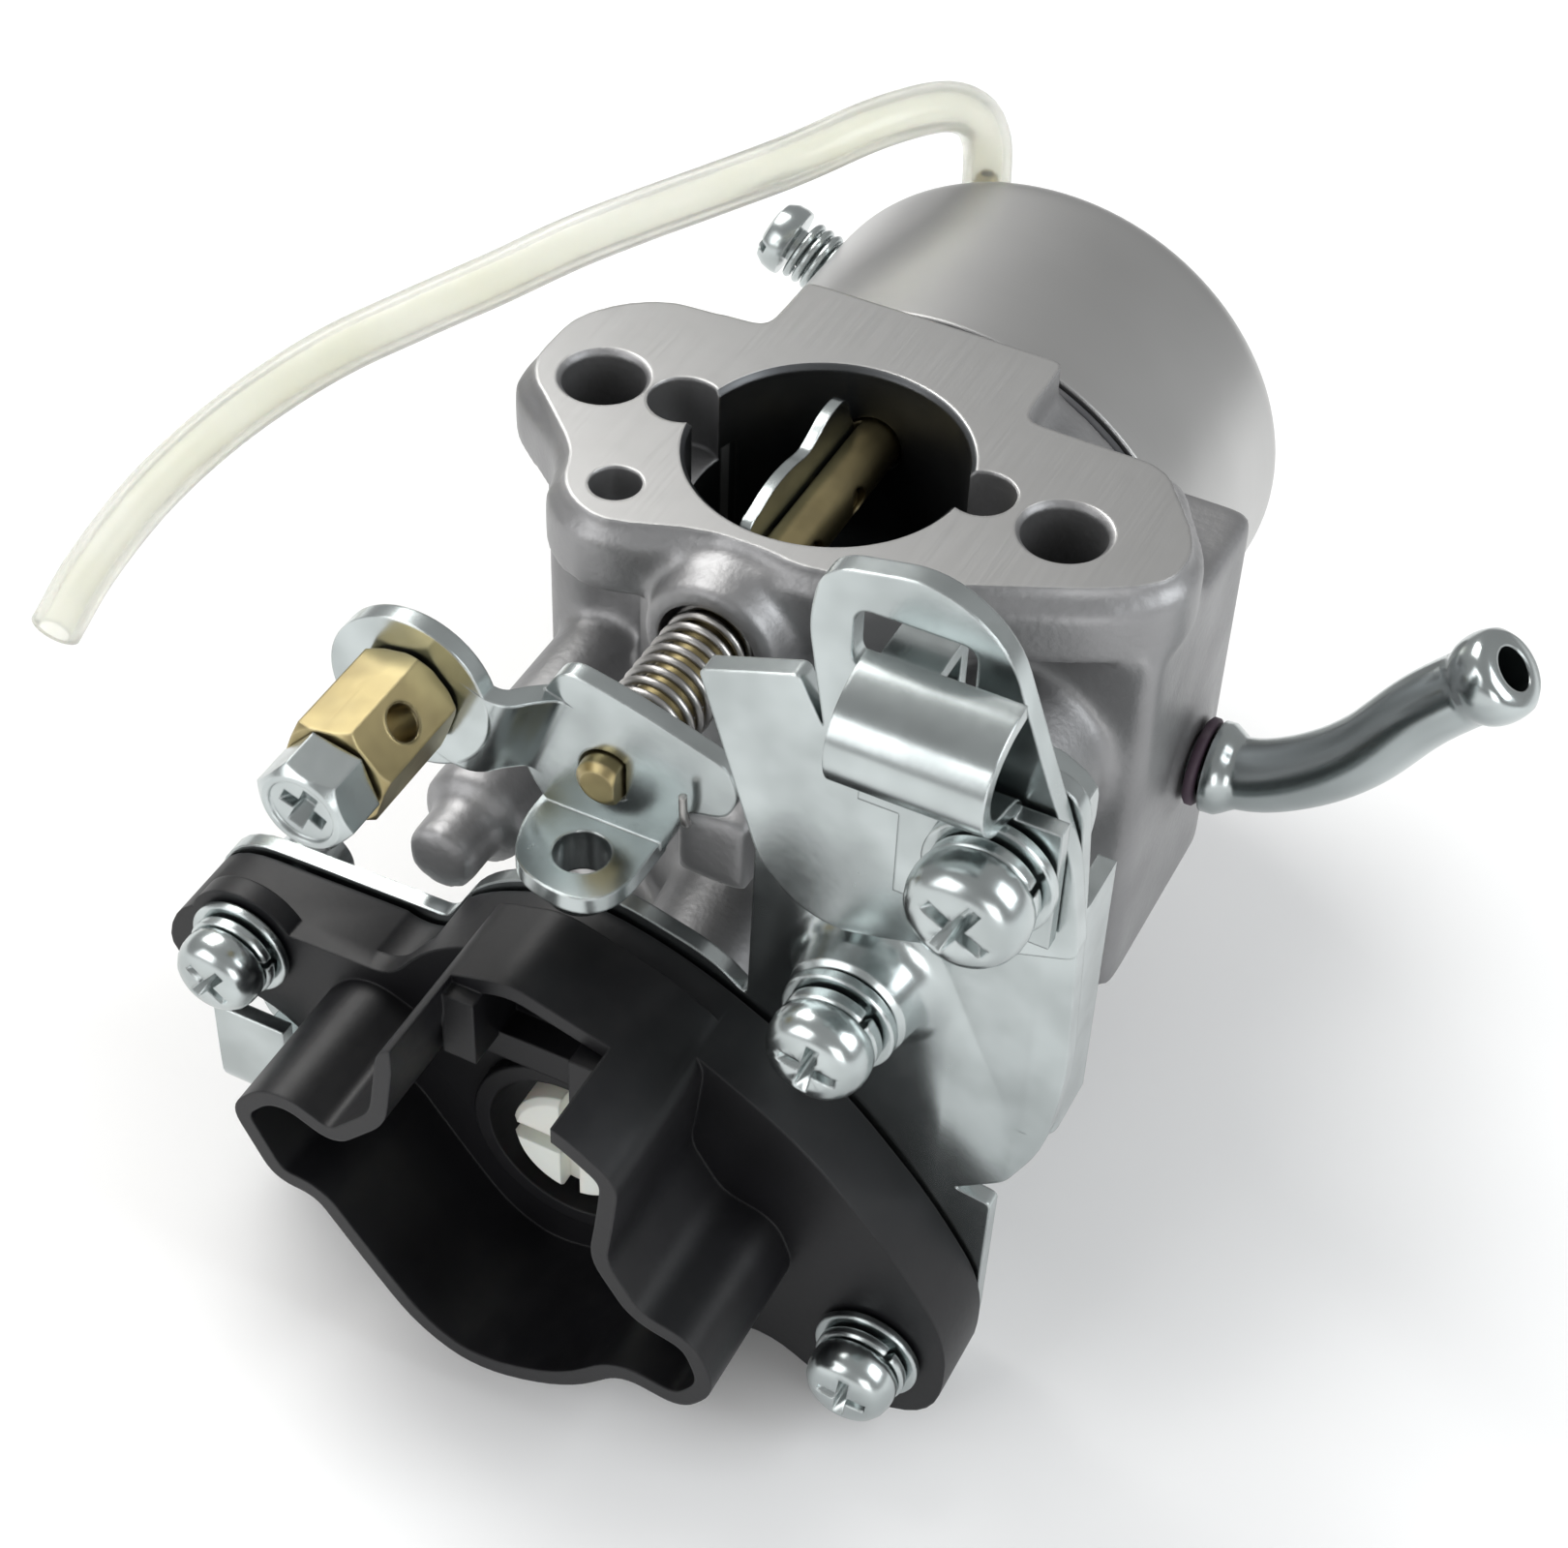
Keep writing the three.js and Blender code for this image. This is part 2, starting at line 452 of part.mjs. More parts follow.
// ---------------------------------------------------------------- choke
function chokeShaft() {
  const round = rodY(CHOKE.x, CHOKE.z, LEVER.y + LEVER.thick + GAP, CHOKE.end, CHOKE.r, CHOKE.r, 18);
  const tenon = rodY(CHOKE.x, CHOKE.z, LEVER.y - 1.6, LEVER.y + LEVER.thick + 0.4, 2.2, 2.2, 14);
  const flats = block([CHOKE.x + 1.4, CHOKE.x + 4], [LEVER.y - 3, LEVER.y + LEVER.thick + GAP],
    [CHOKE.z - 4, CHOKE.z + 4]);
  const flat = block([CHOKE.x - 4, CHOKE.x - 1], [0.4 - INTAKE_R, INTAKE_R - 0.4],
    [CHOKE.z - 4, CHOKE.z + 4]);
  const screwHoles = [-4, 4].map((y) =>
    rodX(y, CHOKE.z, CHOKE.x - 4, CHOKE.x + 4, 1.25, 1.25, 8));
  return cut(join(round, cut(tenon, flats)), flat, ...screwHoles);
}
part('choke_shaft', chokeShaft(), 'brass');

const CHOKE_PLATE = { x0: CHOKE.x - 2.3, x1: CHOKE.x - 1.3, upper: 6.5, lower: 9.8, half: 10.8 };
function chokePlate() {
  const shape = new THREE.Shape();
  const { upper, lower, half } = CHOKE_PLATE;
  shape.moveTo(-half, 0);
  shape.absellipse(0, 0, half, lower, Math.PI, 2 * Math.PI, false);
  shape.lineTo(half - 1.6, upper - 1.3);
  shape.quadraticCurveTo(half - 2.0, upper + 0.4, half - 4.2, upper + 0.2);
  shape.bezierCurveTo(4.4, upper, 2.6, upper - 1.2, 0.8, upper - 0.9);
  shape.quadraticCurveTo(-6.4, upper + 0.6, -half + 2.0, upper - 1.4);
  shape.closePath();
  const geometry = new THREE.ExtrudeGeometry(shape, { depth: 1, bevelEnabled: false, curveSegments: 14 });
  geometry.rotateX(Math.PI / 2).rotateZ(Math.PI / 2).translate(CHOKE_PLATE.x0, 0, CHOKE.z);
  const holes = [-4, 4].map((y) => rodX(y, CHOKE.z, CHOKE.x - 4, CHOKE.x, 1.25, 1.25, 8));
  return cut(solid(geometry), ...holes);
}
part('choke_plate', chokePlate(), 'zinc');
for (const [side, y] of [['front', -4], ['back', 4]]) {
  part(`choke_plate_screw_${side}`, join(
    rodX(y, CHOKE.z, CHOKE_PLATE.x0 - 1.5, CHOKE_PLATE.x0 - GAP, 1.4, 2.0, 12),
    rodX(y, CHOKE.z, CHOKE_PLATE.x0 - 0.6, CHOKE.x + 2, 0.95, 0.95, 8),
  ), 'brass');
}

/** The lever is flat at the shaft, steps forward, and ends in a round eye for the cable anchor. */
const EYE = {
  x: CHOKE.x + LEVER.eyeRadius * Math.cos(THREE.MathUtils.degToRad(LEVER.eyeAngle)),
  z: CHOKE.z + LEVER.eyeRadius * Math.sin(THREE.MathUtils.degToRad(LEVER.eyeAngle)),
  r: 6.9,
  yFront: LEVER.y - LEVER.joggle,
};
const ANCHOR = { flats: 8.2, length: 10, screwHead: 4.2, hole: 1.5 };
function chokeLever() {
  const back = LEVER.y + LEVER.thick;
  const main = slabY(outline([
    [-5.2, 55.6, 2], [0.6, 54.4, 3], [9.0, 51.6, 1], [10.0, 49.2, 1.2], [9.2, 46.6, 1.2],
    [5.4, 45.6, 1], [3.6, 40.0, 1.5], [-5.6, 39.6, 3], [-8.8, 44.4, 3], [-8.4, 48.6, 2],
  ]), LEVER.y, back);
  const stepShape = new THREE.Shape([
    [4.2, LEVER.y], [6.6, LEVER.y], [9.2, EYE.yFront], [12.6, EYE.yFront],
    [12.6, EYE.yFront + LEVER.thick], [10.0, EYE.yFront + LEVER.thick], [7.4, back], [4.2, back],
  ].map(([u, v]) => new THREE.Vector2(u, v)));
  const stepGeometry = new THREE.ExtrudeGeometry(stepShape, { depth: 8.4, bevelEnabled: false });
  const step = solid(stepGeometry.translate(0, 0, -4.2))
    .rotate([0, -LEVER.eyeAngle, 0]).translate([CHOKE.x, 0, CHOKE.z]);
  const eye = rodY(EYE.x, EYE.z, EYE.yFront, EYE.yFront + LEVER.thick, EYE.r, EYE.r, 24);
  const shelf = cut(
    join(
      slabZ(outline([[-7.2, LEVER.y + 1, 0], [3.4, LEVER.y + 1, 0], [3.4, -41, 3], [0.6, -43.6, 3],
        [-5.4, -42.4, 3], [-7.2, -38, 3]]), 39.6, 41.2),
      rodZ(-1.4, -38.6, 37, 40, 3.1, 3.1, 16),
    ),
    rodZ(-1.4, -38.6, 36, 42, 2.3, 2.3, 14),
  );
  const tenonHole = cut(
    rodY(CHOKE.x, CHOKE.z, LEVER.y - 2, back + 1, 2.5, 2.5, 14),
    block([CHOKE.x + 1.7, CHOKE.x + 4], [LEVER.y - 3, back + 2], [CHOKE.z - 4, CHOKE.z + 4]),
  );
  const eyeHole = rodY(EYE.x, EYE.z, EYE.yFront - 1, EYE.yFront + 3, 2.4, 2.4, 14);
  return cut(join(main, step, eye, shelf), tenonHole, eyeHole);
}
part('choke_lever', chokeLever(), 'zinc');

const ANCHOR_FRONT = EYE.yFront - GAP - ANCHOR.length;
function cableAnchor() {
  const y1 = EYE.yFront - GAP;
  const across = ANCHOR.flats / 2 / Math.cos(Math.PI / 6);
  const hex = rodY(0, 0, ANCHOR_FRONT, y1, across, across, 6);
  const stub = rodY(0, 0, y1 - 1, y1 + LEVER.thick + 1.1, 2.1, 2.1, 12);
  const rivet = rodY(0, 0, y1 + LEVER.thick + 2 * GAP, y1 + LEVER.thick + 1.6, 3.1, 2.6, 12);
  const cableHole = rodX(y1 - 5.2, 0, -8, 8, ANCHOR.hole, ANCHOR.hole, 12).rotate([0, -41, 0]);
  const threaded = rodY(0, 0, ANCHOR_FRONT - 1, y1 - 4.6, 1.9, 1.9, 12);
  return cut(join(hex.rotate([0, -11, 0]), stub, rivet), cableHole, threaded).translate([EYE.x, 0, EYE.z]);
}
part('cable_anchor', cableAnchor(), 'brass');

/** A cross recess, as a cutting tool, sunk from the face at y into +Y. */
function crossRecess(y, span) {
  return join(
    block([-span, span], [y - 1, y + span * 0.75], [-span * 0.22, span * 0.22]),
    block([-span * 0.22, span * 0.22], [y - 1, y + span * 0.75], [-span, span]),
  );
}

part('anchor_clamp_screw', cut(
  join(
    rodY(0, 0, ANCHOR_FRONT - GAP - ANCHOR.screwHead, ANCHOR_FRONT - GAP, 4.1, 4.1, 6).rotate([0, 12, 0]),
    rodY(0, 0, ANCHOR_FRONT - 0.5, ANCHOR_FRONT + 3.4, 1.6, 1.6, 10),
  ),
  crossRecess(ANCHOR_FRONT - GAP - ANCHOR.screwHead, 2.2).rotate([0, 20, 0]),
).translate([EYE.x, 0, EYE.z]), 'zinc');

part('choke_return_spring', (() => {
  const body = coil(CHOKE_BOSS_Y + 2.4, LEVER.y + LEVER.thick + 1.2, 3.45, 0.36, 10)
    .rotate([0, 0, 90]);
  return body.translate([CHOKE.x, 0, CHOKE.z]);
})(), 'steel');

// ---------------------------------------------------------------- throttle
const THROTTLE_PLATE = { z0: THROTTLE.z + 1.3, z1: THROTTLE.z + 2.2, r: THROTTLE_R - 0.45 };
part('throttle_shaft', cut(
  rodY(THROTTLE.x, THROTTLE.z, -38.6, THROTTLE.end, THROTTLE.r, THROTTLE.r, 18),
  block([-4, 4], [-THROTTLE_R - 0.1, THROTTLE_R + 0.1], [THROTTLE.z + 1.0, THROTTLE.z + 5]),
  rodZ(THROTTLE.x, 0, THROTTLE.z - 5, THROTTLE.z + 5, 1.3, 1.3, 8),
), 'steel');
part('throttle_plate', cut(
  rodZ(0, 0, THROTTLE_PLATE.z0, THROTTLE_PLATE.z1, THROTTLE_PLATE.r, THROTTLE_PLATE.r, 32),
  rodZ(0, 0, THROTTLE.z, THROTTLE.z + 4, 1.3, 1.3, 8),
), 'brass');
part('throttle_plate_screw', join(
  rodZ(0, 0, THROTTLE_PLATE.z1 + GAP, THROTTLE_PLATE.z1 + 1.6, 2.2, 1.6, 12),
  rodZ(0, 0, THROTTLE.z - 2, THROTTLE_PLATE.z1 + 1, 1.0, 1.0, 8),
), 'brass');
part('throttle_shaft_seal', cut(
  rodY(THROTTLE.x, THROTTLE.z, THROTTLE_BOSS_Y + 0.3, THROTTLE_BOSS_Y + 2.2, 4.7, 4.7, 16),
  rodY(THROTTLE.x, THROTTLE.z, THROTTLE_BOSS_Y - 1, THROTTLE_BOSS_Y + 3, 3.4, 3.4, 16),
), 'fibre');
part('motor_coupling', cut(
  rodY(THROTTLE.x, THROTTLE.z, -44, -36, 5.6, 5.6, 18),
  rodY(THROTTLE.x, THROTTLE.z, -39, -35, THROTTLE.r + GAP, THROTTLE.r + GAP, 16),
  block([-6, 6], [-45, -41], [THROTTLE.z - 0.9, THROTTLE.z + 0.9]),
), 'acetal');

// ---------------------------------------------------------------- motor base plate
const plateBack = PLATE.y + PLATE.thick;
function basePlate() {
  const sheet = slabY(outline([
    [-41, 12, 5], [-38.2, 22.4, 5], [-16.4, 23, 1], [-13, 29.2, 4], [-3, 33.8, 6], [8.2, 30.6, 3],
    [11.3, 28, 1], [11.6, 46.5, 2], [17, 59, 3], [27, 62.5, 3], [36.6, 62, 3], [37.6, 48, 2],
    [38.2, 33, 3], [37.2, 24, 3], [34.4, 18.3, 1], [30.2, 15.2, 0.6], [33.5, 14.8, 0.6],
    [33.2, -4, 4], [28, -9, 5], [18, -5, 4], [0, -8.6, 10], [-14, -6, 8], [-26, -0.4, 2],
    [-36, -0.6, 2],
  ]), PLATE.y, plateBack);
  const lip = block([36.1, 37.5], [PLATE.y, PLATE.y + 7.5], [25, 50]);
  const collar = rodY(SCREW_M.x, SCREW_M.z, PLATE.y - 4.2, PLATE.y + 0.2, 4.9, 6.4, 20);
  const clip = join(
    block([-35, -28], [PLATE.y - 9, PLATE.y + 0.5], [0.4, 1.8]),
    block([-35, -28], [PLATE.y - 9, PLATE.y - 7.6], [0.4, 11]),
  );
  const threads = [SCREW_LEFT, SCREW_RIGHT].map(({ x, z }) =>
    rodY(x, z, plateBack - 0.2, plateBack + 3, 3.4, 3.2, 14));
  const holes = [
    rodY(THROTTLE.x, THROTTLE.z, PLATE.y - 1, plateBack + 1, 9, 9, 24),
    rodY(SCREW_M.x, SCREW_M.z, PLATE.y - 6, plateBack + 1, 2.5, 2.5, 12),
    rodY(SCREW_CLAMP.x, SCREW_CLAMP.z, PLATE.y - 1, plateBack + 1, 2.8, 2.8, 12),
  ];
  for (const { x, z } of [SCREW_LEFT, SCREW_RIGHT]) {
    holes.push(rodY(x, z, PLATE.y - 1, plateBack + 4, 2.2, 2.2, 12));
  }
  return cut(join(sheet, lip, collar, clip, ...threads), ...holes);
}
part('motor_base_plate', basePlate(), 'zinc');

// ---------------------------------------------------------------- motor holder
const CUP_RIM = [
  [-24.6, 16.4, 2], [-21.6, 20.0, 2], [-18.6, 20.6, 1.5], [-14.8, 18.9, 1], [-10.8, 23.2, 1.5],
  [-9.6, 31.4, 1.5], [-3.2, 33.4, 2], [6.6, 30.6, 2], [11.4, 27.4, 2], [10.8, 21.6, 2],
  [10.2, 17.4, 1.5], [13.2, 12.8, 1.5], [18.1, 11.7, 2], [20.1, 6.6, 2.4], [17.0, 2.4, 2],
  [11.4, 3.2, 2], [6.2, -2.2, 5], [-2.2, -5.2, 6], [-8.0, -2.8, 6], [-12.6, 3.0, 4],
  [-17.0, 9.0, 1.5], [-21.0, 9.2, 2],
];
function motorHolder() {
  const plate = slabY(outline([
    [-41, 13, 5], [-38.2, 21.6, 5], [-17.6, 22.2, 2], [-13.4, 28, 4], [-4, 32.4, 6], [6, 30.2, 6],
    [15, 25.4, 5], [21, 21.2, 4], [28.4, 13.2, 4], [33.9, 5, 4], [33.6, -5.4, 6], [25, -7.8, 5],
    [17, -3, 4], [8, -8, 8], [-6, -9.6, 8], [-17, -3, 8], [-24, 7, 6], [-29.6, 12.4, 4],
  ]), HOLDER.y - HOLDER.thick, HOLDER.y);
  const shrink = ([u, v, r]) => {
    const centre = new THREE.Vector2(-1.5, 12.5);
    const point = new THREE.Vector2(u, v);
    const inward = point.clone().sub(centre);
    return [...point.addScaledVector(inward, -HOLDER.wall / inward.length()).toArray(), r];
  };
  const cup = slabY(outline(CUP_RIM), HOLDER.rim, HOLDER.y - 3);
  const inside = slabY(outline(CUP_RIM.map(shrink)), HOLDER.rim - 1, HOLDER.y - HOLDER.thick);
  const mouth = block([-8.4, 5.6], [HOLDER.rim - 1, HOLDER.rim + 9], [25, 36]);
  const postSocket = rodY(POST_L.x, POST_L.z - 1, HOLDER.y - 5, HOLDER.y, 4.2, 4.2, 18);
  const holes = [
    inside, mouth,
    rodY(THROTTLE.x, THROTTLE.z, HOLDER.rim, HOLDER.y + 1, 7.6, 7.6, 24),
  ];
  for (const { x, z } of [SCREW_LEFT, SCREW_RIGHT]) {
    holes.push(rodY(x, z, HOLDER.y - HOLDER.thick - 1, HOLDER.y + 1, 2.4, 2.4, 12));
  }
  return cut(join(plate, cup, postSocket), ...holes);
}
part('motor_holder', motorHolder(), 'plastic');

// ---------------------------------------------------------------- cable bracket and saddle clamp
const bracketFront = BRACKET.y - BRACKET.thick;
part('cable_bracket', cut(
  slabY(outline([
    [7.6, 62.8, 0.6], [15.5, 65.7, 0.6], [17.6, 61.4, 0.6], [16.0, 71.0, 2], [16.8, 76.2, 2.4],
    [25.4, 78.0, 3], [30.8, 74.6, 3], [37.2, 56.8, 2], [38.4, 48.2, 1], [30, 45.2, 2],
    [23.9, 43.0, 2], [18.4, 41.6, 3], [13.2, 45.0, 3],
  ]), bracketFront, BRACKET.y),
  block([19.4, 28.6], [bracketFront - 1, BRACKET.y + 1], [68.2, 73.6]),
  rodY(SCREW_CLAMP.x, SCREW_CLAMP.z, bracketFront - 1, BRACKET.y + 1, 2.8, 2.8, 12),
), 'zinc');

/** A bent strip of sheet: its centre line is drawn in the YZ plane and it is wide along X. */
function bentStrip(line, thick, x0, x1) {
  const half = thick / 2;
  const points = line.map(([y, z]) => new THREE.Vector2(y, z));
  const normals = points.map((p, i) => {
    const before = points[Math.max(i - 1, 0)];
    const after = points[Math.min(i + 1, points.length - 1)];
    const run = after.clone().sub(before).normalize();
    return new THREE.Vector2(-run.y, run.x);
  });
  const left = points.map((p, i) => p.clone().addScaledVector(normals[i], half));
  const right = points.map((p, i) => p.clone().addScaledVector(normals[i], -half)).reverse();
  const shape = new THREE.Shape([...left, ...right]);
  const geometry = new THREE.ExtrudeGeometry(shape, { depth: x1 - x0, bevelEnabled: false });
  return solid(geometry.rotateX(Math.PI / 2).rotateZ(Math.PI / 2).translate(x0, 0, 0));
}

const saddleBack = bracketFront - GAP;
const saddleMid = saddleBack - SADDLE_THICK / 2;
const SADDLE_LINE = [
  [saddleMid, 50], [saddleMid, 61.4], [saddleMid - 0.9, 62.8], [saddleMid - 2.7, 63.1],
  [saddleMid - 4.9, 63.9], [saddleMid - 6.2, 65.5], [saddleMid - 6.4, 67.5], [saddleMid - 5.3, 69.6],
  [saddleMid - 3.0, 71.0], [saddleMid - 0.6, 71.3],
];
part('cable_saddle', cut(
  join(
    bentStrip(SADDLE_LINE.slice(1), SADDLE_THICK, 21.2, 33),
    bentStrip(SADDLE_LINE.slice(0, 3), SADDLE_THICK, 24.4, 36.6),
    bentStrip([SADDLE_LINE[9], [BRACKET.y + 1.2, 71.3]], SADDLE_THICK, 22.2, 26.6),
    block([22.2, 26.6], [BRACKET.y + GAP, BRACKET.y + 1.5], [66, 71.9]),
  ),
  rodY(SCREW_CLAMP.x, SCREW_CLAMP.z, saddleBack - 3, saddleBack + 1, 2.8, 2.8, 12),
), 'zinc');

// ---------------------------------------------------------------- screws with their washers
/** A pan-head screw with a plain and a split washer under its head, all on an axis along Y. */
function screwSet(name, { x, z }, seatY, size) {
  const { headR, headH, shankR, shankLength, washerR, twist } = size;
  const plainTop = seatY - GAP - size.washerH;
  const splitTop = plainTop - GAP - size.splitH;
  const headY = splitTop - GAP;
  const head = turned([
    [0, headY - headH], [headR * 0.62, headY - headH], [headR * 0.9, headY - headH * 0.72],
    [headR, headY - headH * 0.34], [headR, headY], [0, headY],
  ], 20);
  const shank = rodY(0, 0, headY - 0.5, headY + shankLength, shankR, shankR, 12);
  const recess = crossRecess(headY - headH, headR * 0.56).rotate([0, twist, 0]);
  part(name, cut(join(head, shank), recess), 'zinc', at(x, 0, z));
  const hole = rodY(0, 0, splitTop - 1, seatY + 1, shankR + GAP, shankR + GAP, 12);
  part(`${name}_washer`, cut(rodY(0, 0, plainTop, seatY - GAP, washerR, washerR, 20), hole), 'zinc',
    at(x, 0, z));
  const split = cut(
    rodY(0, 0, splitTop, plainTop - GAP, washerR * 0.86, washerR * 0.86, 20),
    hole,
    block([-0.35, 0.35], [splitTop - 1, plainTop + 1], [0, washerR]).rotate([0, 35, 0]),
  );
  part(`${name}_spring_washer`, split, 'zinc', at(x, 0, z));
}

const M5_PAN = { headR: 4.7, headH: 3.7, shankR: 2.45, washerR: 5.1, washerH: 1.0, splitH: 1.3 };
const M4_PAN = { headR: 3.8, headH: 3.1, shankR: 1.95, washerR: 4.6, washerH: 0.8, splitH: 1.0 };
const plasticFront = HOLDER.y - HOLDER.thick;
screwSet('clamp_screw', SCREW_CLAMP, saddleBack - SADDLE_THICK, { ...M5_PAN, shankLength: 13, twist: 30 });
screwSet('plate_screw', SCREW_M, PLATE.y - 4.2, {
  ...M5_PAN, headR: 4.2, headH: 3.4, shankR: 2.1, washerR: 4.7, shankLength: 19, twist: 10,
});
screwSet('holder_screw_left', SCREW_LEFT, plasticFront, { ...M4_PAN, shankR: 1.9, shankLength: 13.5, twist: 40 });
screwSet('holder_screw_right', SCREW_RIGHT, plasticFront, { ...M4_PAN, shankR: 1.9, shankLength: 13.5, twist: 5 });

part('clamp_screw_nut', cut(
  rodY(SCREW_CLAMP.x, SCREW_CLAMP.z, plateBack + GAP, plateBack + 4, 4.6, 4.6, 6),
  rodY(SCREW_CLAMP.x, SCREW_CLAMP.z, plateBack, plateBack + 5, 2.75, 2.75, 12),
), 'zinc');

export default root;
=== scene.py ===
import math

import bmesh
import bpy
from bpy.props import FloatProperty, FloatVectorProperty, IntProperty, PointerProperty
from mathutils import Matrix, Vector


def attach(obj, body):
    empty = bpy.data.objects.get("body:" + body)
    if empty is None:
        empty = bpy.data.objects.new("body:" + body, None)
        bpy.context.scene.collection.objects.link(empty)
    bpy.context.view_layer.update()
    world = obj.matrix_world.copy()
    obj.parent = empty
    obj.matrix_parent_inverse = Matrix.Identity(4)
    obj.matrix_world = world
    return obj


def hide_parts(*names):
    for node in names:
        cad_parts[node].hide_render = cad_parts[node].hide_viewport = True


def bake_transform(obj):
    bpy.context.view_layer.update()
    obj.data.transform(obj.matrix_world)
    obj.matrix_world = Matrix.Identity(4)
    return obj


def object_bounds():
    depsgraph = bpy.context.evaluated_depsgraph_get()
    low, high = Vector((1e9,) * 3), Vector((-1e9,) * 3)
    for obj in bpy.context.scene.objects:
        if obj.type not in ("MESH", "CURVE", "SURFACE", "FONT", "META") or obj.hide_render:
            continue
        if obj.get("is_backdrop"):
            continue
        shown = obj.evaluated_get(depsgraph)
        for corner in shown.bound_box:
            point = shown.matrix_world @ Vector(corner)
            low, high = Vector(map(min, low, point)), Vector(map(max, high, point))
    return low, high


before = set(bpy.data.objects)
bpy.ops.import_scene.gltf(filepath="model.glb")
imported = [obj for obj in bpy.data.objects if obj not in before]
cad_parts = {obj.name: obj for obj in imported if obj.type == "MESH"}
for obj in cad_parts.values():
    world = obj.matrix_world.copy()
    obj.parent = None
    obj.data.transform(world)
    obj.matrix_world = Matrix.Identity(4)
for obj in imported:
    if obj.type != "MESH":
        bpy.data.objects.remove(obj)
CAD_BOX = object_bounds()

bl_info = {
    "name": "Generator carburetor",
    "version": (1, 0, 0),
    "blender": (4, 5, 0),
    "location": "View3D > Sidebar > Carburetor",
    "description": "Builds a small-engine carburetor with side bowl, choke linkage and motor cup",
    "category": "Object",
}

# Sizes are in millimetres, in the row frame: +Z along the bore, motor cup at -Y, bowl at +Y.
BODY_LENGTH, FLANGE_THICK = 54.0, 7.0
INTAKE_R, VENTURI_R, THROTTLE_R = 11.75, 8.2, 10.2
WALL_Y, BLOCK_X, BLOCK_Z, SEAT_Y = -4.4, (-24.2, 31.6), (9.0, 47.3), 21.2
BOWL_X, BOWL_Z, BOWL_R, BOWL_Y = 0.9, 28.0, 24.8, (22.6, 49.0)
CHOKE_X, CHOKE_Z, CHOKE_BOSS_Y = -1.2, 46.4, -18.8
LEVER_Y, LEVER_T = -34.9, 1.6
EYE_X = CHOKE_X + 15.7 * math.cos(math.radians(160))
EYE_Z = CHOKE_Z + 15.7 * math.sin(math.radians(160))
EYE_Y = LEVER_Y - 4.1
THROTTLE_Z, THROTTLE_BOSS_Y = 11.8, -25.0
PLATE_Y, PLATE_T = -35.0, 1.5
HOLDER_Y, HOLDER_T, RIM_Y = -35.3, 7.0, -56.0
BRACKET_BACK, BRACKET_FRONT = -35.3, -37.1
SADDLE_T = 1.3
POST_M, POST_L = (20.9, 34.9), (-18.4, 26.9)
SCREW_M, SCREW_CLAMP = (21.5, 35.8), (31.9, 56.0)
SCREW_LEFT, SCREW_RIGHT = (-32.0, 19.0), (27.2, 0.6)
PIPE_Y, PIPE_Z, PIPE_R = 9.0, 26.6, 3.2
STUD_X, NEEDLE_X = 21, 13.5
PLUG = (4.5, 17)
FLOAT_PIN = (18.8, 24.2)
MM = 0.001
NIPPLE = (-9.4, 54.0, 38.4)
DRAIN = Vector((-21.9, 50.6, 32.6))
DRAIN_TILT = math.radians(21)


# ---------------------------------------------------------------- mesh tools
def new_object(name, bm):
    """Turns a bmesh into an object in the scene, its faces outward."""
    bmesh.ops.recalc_face_normals(bm, faces=bm.faces)
    mesh = bpy.data.meshes.new(name)
    bm.to_mesh(mesh)
    bm.free()
    obj = bpy.data.objects.new(name, mesh)
    bpy.context.scene.collection.objects.link(obj)
    return obj


def bake(obj):
    """Turns an object's live modifiers into its mesh."""
    graph = bpy.context.evaluated_depsgraph_get()
    mesh = bpy.data.meshes.new_from_object(obj.evaluated_get(graph), depsgraph=graph)
    old = obj.data
    obj.modifiers.clear()
    obj.data = mesh
    bpy.data.meshes.remove(old)
    return obj


def combine(base, operation, pieces):
    """Joins, cuts or intersects base with the pieces, which are used up."""
    for piece in pieces:
        step = base.modifiers.new(operation.lower(), "BOOLEAN")
        step.operation = operation
        step.object = piece
        step.solver = "MANIFOLD"
    bake(base)
    for piece in pieces:
        bpy.data.objects.remove(piece)
    if not base.data.polygons:
        raise RuntimeError(base.name + " vanished in a boolean " + operation)
    return base


def join(base, *pieces):
    return combine(base, "UNION", pieces)


def cut(base, *pieces):
    return combine(base, "DIFFERENCE", pieces)


TURN = {
    "X": Matrix.Rotation(math.pi / 2, 4, "Y"),
    "Y": Matrix.Rotation(-math.pi / 2, 4, "X"),
    "Z": Matrix.Identity(4),
}


def along(axis, a, b, t):
    return Vector({"X": (t, a, b), "Y": (a, t, b), "Z": (a, b, t)}[axis])


def rod(axis, a, b, t0, t1, r0, r1=None, sides=64):
    """A cylinder or cone from t0 to t1 on the line through (a, b) parallel to an axis."""
    bm = bmesh.new()
    bmesh.ops.create_cone(bm, cap_ends=True, segments=sides, radius1=r0,
                          radius2=r0 if r1 is None else r1, depth=t1 - t0)
    bm.transform(Matrix.Translation(along(axis, a, b, (t0 + t1) / 2)) @ TURN[axis])
    return new_object("rod", bm)


def block(x, y, z):
    bm = bmesh.new()
    bmesh.ops.create_cube(bm, size=1.0)
    bm.transform(Matrix.Translation(((x[0] + x[1]) / 2, (y[0] + y[1]) / 2, (z[0] + z[1]) / 2))
                 @ Matrix.Diagonal((x[1] - x[0], y[1] - y[0], z[1] - z[0], 1)))
    return new_object("block", bm)


